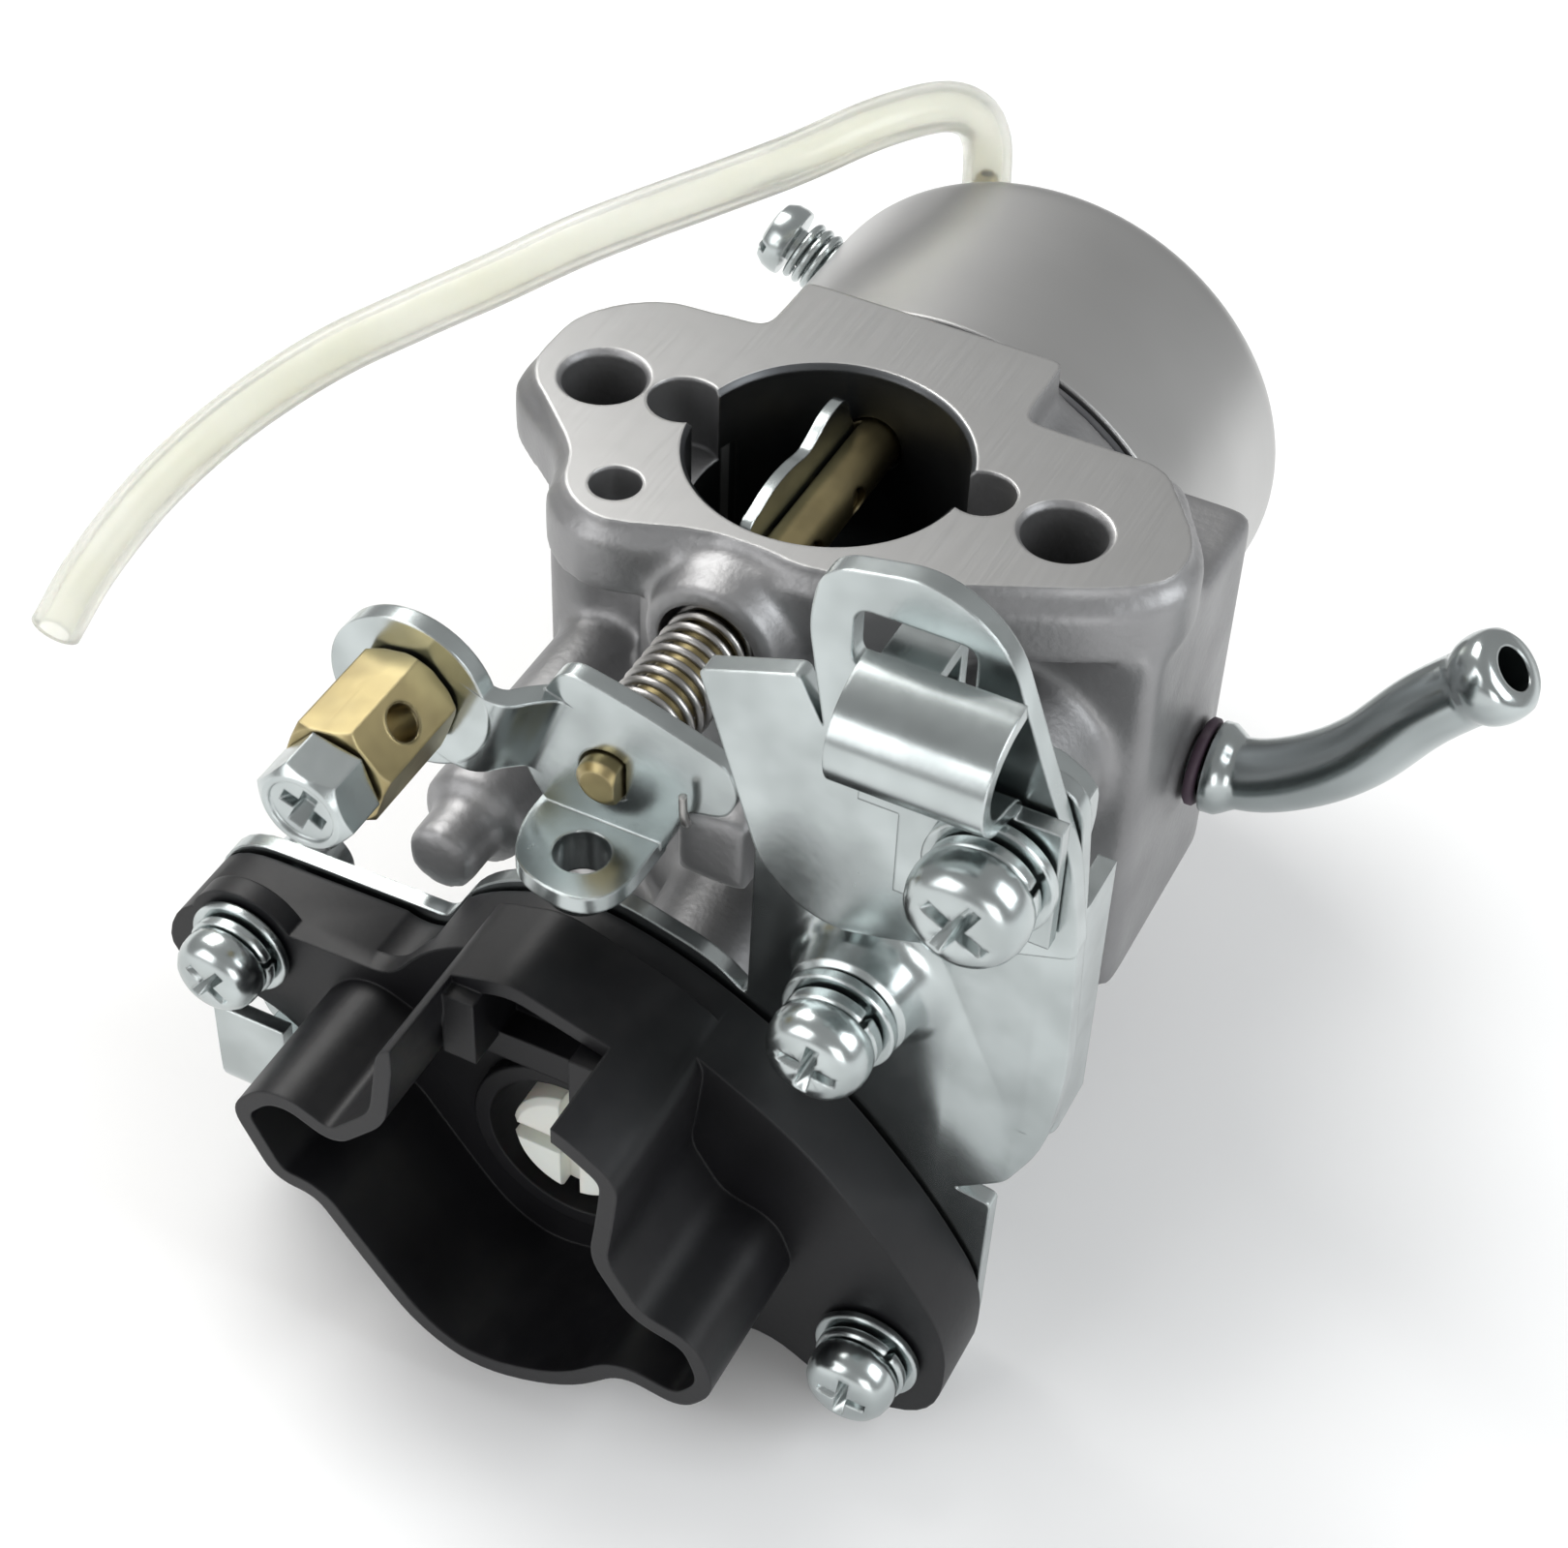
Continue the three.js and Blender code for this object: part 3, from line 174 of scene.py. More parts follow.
def lathe(axis, a, b, profile, sides=72):
    """Turns a closed half-profile of (radius, place along the axis) about its axis."""
    bm = bmesh.new()
    rings = []
    for r, t in profile:
        if r < 1e-6:
            rings.append([bm.verts.new((0, 0, t))])
        else:
            rings.append([bm.verts.new((r * math.cos(q), r * math.sin(q), t))
                          for q in (2 * math.pi * i / sides for i in range(sides))])
    pairs = list(zip(rings, rings[1:]))
    if len(rings[0]) > 1 or len(rings[-1]) > 1:
        pairs.append((rings[-1], rings[0]))
    for low, high in pairs:
        for i in range(sides):
            k = (i + 1) % sides
            ring = [low[i], low[k], high[k], high[i]] if len(low) > 1 and len(high) > 1 else (
                [low[0], high[k], high[i]] if len(high) > 1 else [low[i], low[k], high[0]])
            bm.faces.new(ring)
    bm.transform(Matrix.Translation(along(axis, a, b, 0)) @ TURN[axis])
    return new_object("lathe", bm)


def rounded(corners, fine=6):
    """Points of a closed outline through corners (u, v, radius)."""
    points = []
    count = len(corners)
    for i, corner in enumerate(corners):
        here = Vector(corner[:2])
        radius = corner[2] if len(corner) > 2 else 0
        before = Vector(corners[i - 1][:2])
        after = Vector(corners[(i + 1) % count][:2])
        if radius <= 0:
            points.append(here)
            continue
        enter = here.lerp(before, min(radius / (here - before).length, 0.48))
        leave = here.lerp(after, min(radius / (here - after).length, 0.48))
        for k in range(fine + 1):
            t = k / fine
            points.append(enter * (1 - t) ** 2 + here * 2 * t * (1 - t) + leave * t ** 2)
    return points


def slab(plane, corners, low, high, fine=6):
    """A flat piece: an outline in the XZ plane ("Y") or the XY plane ("Z") from low to high."""
    return prism(plane, rounded(corners, fine), low, high)


def prism(plane, points, low, high):
    """A closed outline of points drawn out from low to high along the named axis."""
    bm = bmesh.new()
    lift = {"Y": lambda p, h: (p[0], h, p[1]), "Z": lambda p, h: (p[0], p[1], h),
            "X": lambda p, h: (h, p[0], p[1])}[plane]
    bottom = [bm.verts.new(lift(p, low)) for p in points]
    top = [bm.verts.new(lift(p, high)) for p in points]
    bm.faces.new(bottom)
    bm.faces.new(top[::-1])
    for i in range(len(points)):
        k = (i + 1) % len(points)
        bm.faces.new((bottom[i], bottom[k], top[k], top[i]))
    return new_object("prism", bm)


def smooth_path(route, step):
    """Points every step along a Catmull-Rom curve through the route."""
    pts = [Vector(p) for p in route]
    ends = [2 * pts[0] - pts[1]] + pts + [2 * pts[-1] - pts[-2]]
    dense = []
    for p0, p1, p2, p3 in zip(ends, ends[1:], ends[2:], ends[3:]):
        for k in range(24):
            t = k / 24
            dense.append(0.5 * (2 * p1 + (p2 - p0) * t + (2 * p0 - 5 * p1 + 4 * p2 - p3) * t * t
                                + (3 * p1 - p0 - 3 * p2 + p3) * t ** 3))
    dense.append(pts[-1])
    total = sum((b - a).length for a, b in zip(dense, dense[1:]))
    count = max(2, round(total / step))
    result, walked, target, i = [dense[0]], 0.0, total / count, 0
    for a, b in zip(dense, dense[1:]):
        run = (b - a).length
        while run > 0 and walked + run >= target - 1e-9 and len(result) < count:
            result.append(a.lerp(b, (target - walked) / run))
            target += total / count
        walked += run
    result.append(dense[-1])
    return result, total


def sweep(path, outer, inner=None, sides=28):
    """A round bar along a path; outer and inner give the radius at a share of its length."""
    bm = bmesh.new()
    tangents = [((path[min(i + 1, len(path) - 1)] - path[max(i - 1, 0)]).normalized())
                for i in range(len(path))]
    side = tangents[0].orthogonal().normalized()
    frames = []
    for tangent in tangents:
        side = (side - tangent * side.dot(tangent)).normalized()
        frames.append((side, tangent.cross(side)))

    def rings(radius):
        made = []
        for i, (point, (u, v)) in enumerate(zip(path, frames)):
            r = radius(i / (len(path) - 1))
            made.append([bm.verts.new(point + u * (r * math.cos(q)) + v * (r * math.sin(q)))
                         for q in (2 * math.pi * k / sides for k in range(sides))])
        return made

    def skin(low, high):
        for k in range(sides):
            n = (k + 1) % sides
            bm.faces.new((low[k], low[n], high[n], high[k]))

    out = rings(outer)
    for low, high in zip(out, out[1:]):
        skin(low, high)
    if inner:
        bore = rings(inner)
        for low, high in zip(bore, bore[1:]):
            skin(high, low)
        skin(bore[0], out[0])
        skin(out[-1], bore[-1])
    else:
        bm.faces.new(out[0])
        bm.faces.new(out[-1])
    return new_object("sweep", bm)


def turned_copy(obj, matrix):
    obj.data.transform(matrix)
    return obj


def on_drain_axis(obj):
    """Lays a piece built along X at the origin onto the drain screw's axis."""
    return turned_copy(obj, Matrix.Translation(DRAIN) @ Matrix.Rotation(DRAIN_TILT, 4, "Y"))


def ease_edges(obj, width=0.25, angle=32, segments=2):
    """Rounds every edge sharper than the angle."""
    for polygon in obj.data.polygons:
        polygon.use_smooth = True
    edge = obj.modifiers.new("edges", "BEVEL")
    edge.width = width
    edge.segments = segments
    edge.limit_method = "ANGLE"
    edge.angle_limit = math.radians(angle)
    edge.harden_normals = True
    edge.use_clamp_overlap = True
    return bake(obj)


def finish(obj, name, body, key, nodes, ease=0.22, sharp=None):
    """Names a piece, sizes it in metres, gives it its finish and ties it to the frame."""
    if ease:
        ease_edges(obj, ease)
    else:
        for polygon in obj.data.polygons:
            polygon.use_smooth = True
    if sharp:
        obj.data.set_sharp_from_angle(angle=math.radians(sharp))
    obj.name = name
    obj.data.name = name
    obj.data.transform(Matrix.Scale(MM, 4))
    obj.data.materials.clear()
    obj.data.materials.append(FINISH[key])
    if body:
        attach(obj, body)
    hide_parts(*nodes)
    return obj


# ---------------------------------------------------------------- shader groups
def group_of(name, inputs, outputs):
    group = bpy.data.node_groups.new(name, "ShaderNodeTree")
    for label, kind, value in inputs:
        socket = group.interface.new_socket(label, in_out="INPUT", socket_type="NodeSocket" + kind)
        if value is not None:
            socket.default_value = value
    for label, kind in outputs:
        group.interface.new_socket(label, in_out="OUTPUT", socket_type="NodeSocket" + kind)
    return group, group.nodes.new("NodeGroupInput"), group.nodes.new("NodeGroupOutput")


def node(tree, kind, settings=None, **inputs):
    made = tree.nodes.new("ShaderNode" + kind)
    for key, value in (settings or {}).items():
        setattr(made, key, value)
    for key, value in inputs.items():
        socket = made.inputs[int(key[1:])] if key[0] == "i" and key[1:].isdigit() else (
            made.inputs[key.replace("_", " ")])
        if isinstance(value, bpy.types.NodeSocket):
            tree.links.new(value, socket)
        else:
            socket.default_value = value
    return made


def grain_group():
    """Fine speckle and broad blotches, both from 0 to 1, in a pattern that can be stretched."""
    group, start, end = group_of(
        "surface_grain",
        [("Stretch", "Vector", (1, 1, 1)), ("Fine Scale", "Float", 2500.0),
         ("Broad Scale", "Float", 120.0)],
        [("Fine", "Float"), ("Broad", "Float")])
    place = node(group, "TexCoord").outputs["Object"]
    pulled = node(group, "VectorMath", {"operation": "MULTIPLY"}, i0=place,
                  i1=start.outputs["Stretch"]).outputs[0]
    fine = node(group, "TexNoise", Vector=pulled, Scale=start.outputs["Fine Scale"], Detail=3.0)
    broad = node(group, "TexNoise", Vector=place, Scale=start.outputs["Broad Scale"], Detail=2.0)
    group.links.new(fine.outputs["Fac"], end.inputs["Fine"])
    group.links.new(broad.outputs["Fac"], end.inputs["Broad"])
    return group


def wear_group():
    """A mask of rubbed edges, and the softened normal that a small edge radius gives."""
    group, start, end = group_of(
        "edge_wear", [("Radius", "Float", 0.0004), ("Amount", "Float", 0.5)],
        [("Mask", "Float"), ("Normal", "Vector")])
    soft = node(group, "Bevel", {"samples": 4}, Radius=start.outputs["Radius"]).outputs[0]
    facing = node(group, "NewGeometry").outputs["Normal"]
    dot = node(group, "VectorMath", {"operation": "DOT_PRODUCT"}, i0=soft, i1=facing).outputs["Value"]
    rim = node(group, "MapRange", {"clamp": True}, i0=dot, i1=0.995, i2=0.8, i3=0.0, i4=1.0).outputs[0]
    place = node(group, "TexCoord").outputs["Object"]
    patchy = node(group, "TexNoise", Vector=place, Scale=700.0, Detail=2.0).outputs["Fac"]
    broken = node(group, "Math", {"operation": "MULTIPLY"}, i0=rim, i1=patchy).outputs[0]
    mask = node(group, "Math", {"operation": "MULTIPLY", "use_clamp": True}, i0=broken,
                i1=start.outputs["Amount"]).outputs[0]
    group.links.new(mask, end.inputs["Mask"])
    group.links.new(soft, end.inputs["Normal"])
    return group


def dust_group():
    """A mask of fine dust that settles on faces turned up."""
    group, start, end = group_of("settled_dust", [("Amount", "Float", 0.1)], [("Mask", "Float")])
    up = node(group, "SeparateXYZ", i0=node(group, "NewGeometry").outputs["Normal"]).outputs["Z"]
    flat = node(group, "MapRange", {"clamp": True}, i0=up, i1=0.2, i2=1.0, i3=0.0, i4=1.0).outputs[0]
    place = node(group, "TexCoord").outputs["Object"]
    specks = node(group, "TexNoise", Vector=place, Scale=420.0, Detail=4.0).outputs["Fac"]
    spread = node(group, "MapRange", {"clamp": True}, i0=specks, i1=0.45, i2=0.75, i3=0.0,
                  i4=1.0).outputs[0]
    both = node(group, "Math", {"operation": "MULTIPLY"}, i0=flat, i1=spread).outputs[0]
    mask = node(group, "Math", {"operation": "MULTIPLY"}, i0=both,
                i1=start.outputs["Amount"]).outputs[0]
    group.links.new(mask, end.inputs["Mask"])
    return group


def group_node(tree, name, **inputs):
    made = tree.nodes.new("ShaderNodeGroup")
    made.node_tree = bpy.data.node_groups[name]
    for key, value in inputs.items():
        made.inputs[key.replace("_", " ")].default_value = value
    return made


def surface(name, color, shade, worn, roughness, spread=0.1, metallic=1.0, stretch=(1, 1, 1),
            fine=2500.0, broad=120.0, bump=0.3, depth=0.00003, radius=0.00035, wear=0.5, dust=0.06,
            **principled):
    """A finish: two mixed tones, rubbed edges, a little dust, uneven gloss and a fine relief."""
    material = bpy.data.materials.new(name)
    material.use_nodes = True
    tree = material.node_tree
    shader = tree.nodes["Principled BSDF"]
    shader.inputs["Metallic"].default_value = metallic
    for key, value in principled.items():
        shader.inputs[key.replace("_", " ")].default_value = value
    grain = group_node(tree, "surface_grain", Stretch=stretch, Fine_Scale=fine, Broad_Scale=broad)
    edges = group_node(tree, "edge_wear", Radius=radius, Amount=wear)
    dusty = group_node(tree, "settled_dust", Amount=dust)
    color, shade, worn = ((*tone, 1.0) for tone in (color, shade, worn))
    mix = {"data_type": "RGBA"}
    blotch = node(tree, "MapRange", {"clamp": True}, i0=grain.outputs["Broad"], i1=0.35, i2=0.65,
                  i3=0.0, i4=1.0).outputs[0]
    tone = node(tree, "Mix", mix, i0=blotch, i6=color, i7=shade).outputs[2]
    rubbed = node(tree, "Mix", mix, i0=edges.outputs["Mask"], i6=tone, i7=worn).outputs[2]
    covered = node(tree, "Mix", mix, i0=dusty.outputs["Mask"], i6=rubbed,
                   i7=(0.5, 0.49, 0.46, 1)).outputs[2]
    tree.links.new(covered, shader.inputs["Base Color"])
    uneven = node(tree, "Math", {"operation": "MULTIPLY_ADD"}, i0=grain.outputs["Broad"], i1=spread,
                  i2=roughness - spread / 2).outputs[0]
    gritty = node(tree, "Math", {"operation": "MULTIPLY_ADD"}, i0=grain.outputs["Fine"],
                  i1=spread * 0.5, i2=uneven).outputs[0]
    tree.links.new(gritty, shader.inputs["Roughness"])
    relief = node(tree, "Bump", Strength=bump, Distance=depth, Height=grain.outputs["Fine"],
                  Normal=edges.outputs["Normal"]).outputs[0]
    tree.links.new(relief, shader.inputs["Normal"])
    return material


FINISH = {}


def make_finishes(tones):
    grain_group()
    wear_group()
    dust_group()
    cast = tuple(tones.cast_color)
    zinc = tuple(tones.zinc_color)
    brass = tuple(tones.brass_color)
    black = tuple(tones.plastic_color)
    FINISH.update({
        "cast": surface("cast_aluminium", cast, tuple(c * 0.82 for c in cast), (0.82, 0.82, 0.83),
                        0.44, 0.14, metallic=0.9, fine=1500, broad=90, bump=0.55, depth=0.00008,
                        radius=0.0006, wear=0.5, dust=0.05),
        "machined": surface("machined_face", (0.52, 0.52, 0.515), (0.45, 0.45, 0.445),
                            (0.9, 0.9, 0.9), 0.33, 0.12, stretch=(1, 0.03, 1), fine=3000, broad=140,
                            bump=0.3, depth=0.00003, radius=0.0004, wear=0.5, dust=0.03),
        # The bore finish is far darker than the cast and machined aluminium: it is painted shade inside
        # the bore.
        "bore": surface("bore_painted_shade", (0.12, 0.125, 0.13), (0.07, 0.073, 0.078), (0.6, 0.6, 0.6),
                        0.36, 0.12, stretch=(0.05, 0.05, 1), fine=4200, broad=110, bump=0.35,
                        depth=0.00003, wear=0.4, dust=0.0),
        "spun": surface("spun_aluminium", (0.53, 0.53, 0.525), (0.46, 0.46, 0.455), (0.85, 0.85, 0.85),
                        0.36, 0.07, stretch=(0.02, 1, 0.02), fine=3600, broad=45, bump=0.22,
                        depth=0.00003, radius=0.0005, wear=0.4, dust=0.03),
        "zinc": surface("zinc_plate", zinc, tuple(c * 0.78 for c in zinc), (0.92, 0.94, 0.95),
                        0.2, 0.14, fine=900, broad=160, bump=0.16, depth=0.00004, radius=0.0003,
                        wear=0.5, dust=0.03),
        "pipe": surface("zinc_pipe", tuple(c * 0.93 for c in zinc), tuple(c * 0.78 for c in zinc),
                        (0.9, 0.92, 0.93), 0.17, 0.08, fine=700, broad=110, bump=0.1, depth=0.00003,
                        wear=0.4, dust=0.02),
        "steel": surface("spring_steel", (0.42, 0.41, 0.40), (0.33, 0.32, 0.31), (0.7, 0.7, 0.7),
                         0.28, 0.12, fine=2200, broad=260, bump=0.1, depth=0.00002, wear=0.3,
                         dust=0.04),
        "brass": surface("dull_brass", brass, tuple(c * 0.72 for c in brass), (0.75, 0.66, 0.42),
                         0.3, 0.16, stretch=(1, 0.08, 1), fine=2400, broad=240, bump=0.2,
                         depth=0.00003, wear=0.7, dust=0.03),
        "black": surface("moulded_black", black, tuple(c * 1.5 for c in black), (0.05, 0.05, 0.055),
                         0.42, 0.12, metallic=0.0, fine=1800, broad=120, bump=0.25, depth=0.00003,
                         radius=0.0003, wear=0.3, dust=0.008, Specular_IOR_Level=0.35),
        "acetal": surface("acetal", (0.86, 0.84, 0.77), (0.8, 0.78, 0.7), (0.92, 0.9, 0.85), 0.45, 0.1,
                          metallic=0.0, fine=1600, bump=0.15, wear=0.2, dust=0.05,
                          Subsurface_Weight=0.15),
        "rubber": surface("purple_rubber", (0.035, 0.015, 0.03), (0.05, 0.028, 0.045),
                          (0.09, 0.06, 0.08), 0.55, 0.15, metallic=0.0, fine=1500, bump=0.3,
                          wear=0.4, dust=0.08),
        "fibre": surface("grey_fibre", (0.05, 0.052, 0.057), (0.07, 0.07, 0.075), (0.14, 0.14, 0.14),
                         0.8, 0.1, metallic=0.0, stretch=(1, 0.2, 1), fine=2600, bump=0.5,
                         wear=0.3, dust=0.08),
        "hose": surface("clear_vinyl", tuple(tones.hose_color), (0.93, 0.93, 0.84),
                        (0.97, 0.97, 0.93), 0.22, 0.08, metallic=0.0, fine=400, broad=90, bump=0.05,
                        depth=0.00004, radius=0.0002, wear=0.0, dust=0.0, IOR=1.36,
                        Transmission_Weight=0.8, Subsurface_Weight=0.1),
    })


# ---------------------------------------------------------------- geometry node trees
def geometry_tree(name, inputs):
    tree = bpy.data.node_groups.new(name, "GeometryNodeTree")
    tree.interface.new_socket("Geometry", in_out="INPUT", socket_type="NodeSocketGeometry")
    for label, kind in inputs:
        tree.interface.new_socket(label, in_out="INPUT", socket_type="NodeSocket" + kind)
    tree.interface.new_socket("Geometry", in_out="OUTPUT", socket_type="NodeSocketGeometry")
    return tree, tree.nodes.new("NodeGroupInput"), tree.nodes.new("NodeGroupOutput")


def run_tree(name, tree, points, values):
    """Runs a tree on a mesh of points and returns its result as a plain mesh object."""
    mesh = bpy.data.meshes.new(name)
    mesh.from_pydata([p["at"] for p in points], [], [])
    for key in ("turn", "size"):
        layer = mesh.attributes.new(key, "FLOAT", "POINT")
        for i, p in enumerate(points):
            layer.data[i].value = p.get(key, 0.0)
    obj = bpy.data.objects.new(name, mesh)
    bpy.context.scene.collection.objects.link(obj)
    step = obj.modifiers.new("build", "NODES")
    step.node_group = tree
    for item in tree.interface.items_tree:
        if item.in_out == "INPUT" and item.name in values:
            step[item.identifier] = values[item.name]
    return bake(obj)


def coil_tree():
    """A coil spring: a helix of round wire, closed up at both ends."""
    tree, start, end = geometry_tree("coil_spring", [
        ("Turns", "Float"), ("Radius", "Float"), ("Length", "Float"), ("Wire", "Float"),
        ("Finish", "Material")])
    helix = tree.nodes.new("GeometryNodeCurveSpiral")
    helix.inputs["Resolution"].default_value = 28
    wire = tree.nodes.new("GeometryNodeCurvePrimitiveCircle")
    wire.inputs["Resolution"].default_value = 12
    tube = tree.nodes.new("GeometryNodeCurveToMesh")
    tube.inputs["Fill Caps"].default_value = True
    real = tree.nodes.new("GeometryNodeRealizeInstances")
    paint = tree.nodes.new("GeometryNodeSetMaterial")
    link = tree.links.new
    link(start.outputs["Turns"], helix.inputs["Rotations"])
    link(start.outputs["Radius"], helix.inputs["Start Radius"])
    link(start.outputs["Radius"], helix.inputs["End Radius"])
    link(start.outputs["Length"], helix.inputs["Height"])
    link(start.outputs["Wire"], wire.inputs["Radius"])
    link(helix.outputs[0], tube.inputs["Curve"])
    link(wire.outputs["Curve"], tube.inputs["Profile Curve"])
    link(tube.outputs[0], real.inputs[0])
    link(real.outputs[0], paint.inputs["Geometry"])
    link(start.outputs["Finish"], paint.inputs["Material"])
    link(paint.outputs[0], end.inputs[0])
    return tree


def fastener_tree():
    """Puts one fastener on every point, turned about its own axis and sized."""
    tree, start, end = geometry_tree("placed_fasteners", [("Fastener", "Object"),
                                                          ("Finish", "Material")])
    piece = tree.nodes.new("GeometryNodeObjectInfo")
    piece.transform_space = "ORIGINAL"
    spread = tree.nodes.new("GeometryNodeInstanceOnPoints")
    turn = tree.nodes.new("GeometryNodeInputNamedAttribute")
    turn.inputs["Name"].default_value = "turn"
    size = tree.nodes.new("GeometryNodeInputNamedAttribute")
    size.inputs["Name"].default_value = "size"
    angles = tree.nodes.new("ShaderNodeCombineXYZ")
    real = tree.nodes.new("GeometryNodeRealizeInstances")
    paint = tree.nodes.new("GeometryNodeSetMaterial")
    link = tree.links.new
    link(start.outputs["Fastener"], piece.inputs["Object"])
    link(piece.outputs["Geometry"], spread.inputs["Instance"])
    link(start.outputs["Geometry"], spread.inputs["Points"])
    link(turn.outputs["Attribute"], angles.inputs["Y"])
    link(angles.outputs[0], spread.inputs["Rotation"])
    link(size.outputs["Attribute"], spread.inputs["Scale"])
    link(spread.outputs[0], real.inputs[0])
    link(real.outputs[0], paint.inputs["Geometry"])
    link(start.outputs["Finish"], paint.inputs["Material"])
    link(paint.outputs[0], end.inputs[0])
    return tree


# ---------------------------------------------------------------- body
def flange_outline(inset, neck_y):
    i = inset
    return [
        (-28.7 + i, -3.0 + i, 3), (-28.6 + i, 8.2 - i, 3), (-23.6 + i, 13.4 - i, 3),
        (-12.2 + i, 14.4 - i, 2), (-12.2 + i, neck_y), (12.2 - i, neck_y), (12.2 - i, 13.0 - i, 1),
        (26.4 - i, 12.8 - i, 2), (32.2 - i, 3.6, 3), (32.4 - i, -1.6, 3), (28.0 - i, -6.2 + i, 4),
        (7.3, -15.9 + i, 10), (-2.8, -14.2 + i, 5), (-12.6, -18.4 + i, 4), (-18.6 + i, -15.2 + i, 4),
        (-19.6 + i, -9.8, 3)]


def raw_casting(voxel):
    """The casting as it leaves the mould, with a fillet wherever two walls meet."""
    top = BODY_LENGTH
    cast = join(
        slab("Z", flange_outline(0, 18), top - FLANGE_THICK, top - 1.3),
        slab("Z", flange_outline(1.3, 18), top - 1.6, top + 0.8),
        slab("Z", [(-27, -6, 5), (-27, 8, 5), (-15, 15, 5), (15, 15, 5), (28, 8, 5), (28, -6, 5),
                   (17, -15.5, 6), (-17, -15.5, 6)], -0.8, 9),
        slab("Z", [(BLOCK_X[0], WALL_Y, 1.5), (BLOCK_X[0], SEAT_Y - 3, 2), (BLOCK_X[1], SEAT_Y - 3, 2),
                   (BLOCK_X[1], WALL_Y, 1.5)], *BLOCK_Z),
        rod("Y", BOWL_X, BOWL_Z, SEAT_Y - 6, SEAT_Y + 0.8, BOWL_R - 0.1, sides=96),
        block((-12.2, 12.2), (11, SEAT_Y - 0.5), (46, top + 0.8)),
        rod("Z", 0, 0, 5, top - 4, 15.4),
        rod("Z", -STUD_X, 0, 7, top - 5, 4.9),
        rod("Y", CHOKE_X, CHOKE_Z, CHOKE_BOSS_Y, -8, 5.9, 7.4),
        rod("Y", 0, THROTTLE_Z, THROTTLE_BOSS_Y, -8, 6.2, 7.6),
        rod("Y", *POST_M, PLATE_Y + PLATE_T + 0.3, WALL_Y + 1, 5.6, 8.1),
        rod("Y", *POST_L, -28, WALL_Y + 1, 4.8),
        rod("Y", *POST_L, PLATE_Y + PLATE_T + 0.3, -27, 3.2),
        block((3.4, 9.6), (-32.8, -10), (36.2, 43.6)),
        rod("X", PIPE_Y, PIPE_Z, BLOCK_X[1] - 2, BLOCK_X[1] + 0.6, 4.6),
        rod("X", *PLUG, BLOCK_X[0] - 2.4, BLOCK_X[0] + 2, 3.6))
    melt = cast.modifiers.new("melt", "REMESH")
    melt.mode = "VOXEL"
    melt.voxel_size = voxel
    ease = cast.modifiers.new("ease", "SMOOTH")
    ease.factor = 0.6
    ease.iterations = 9
    thin = cast.modifiers.new("thin", "DECIMATE")
    thin.ratio = 0.4
    return bake(cast)


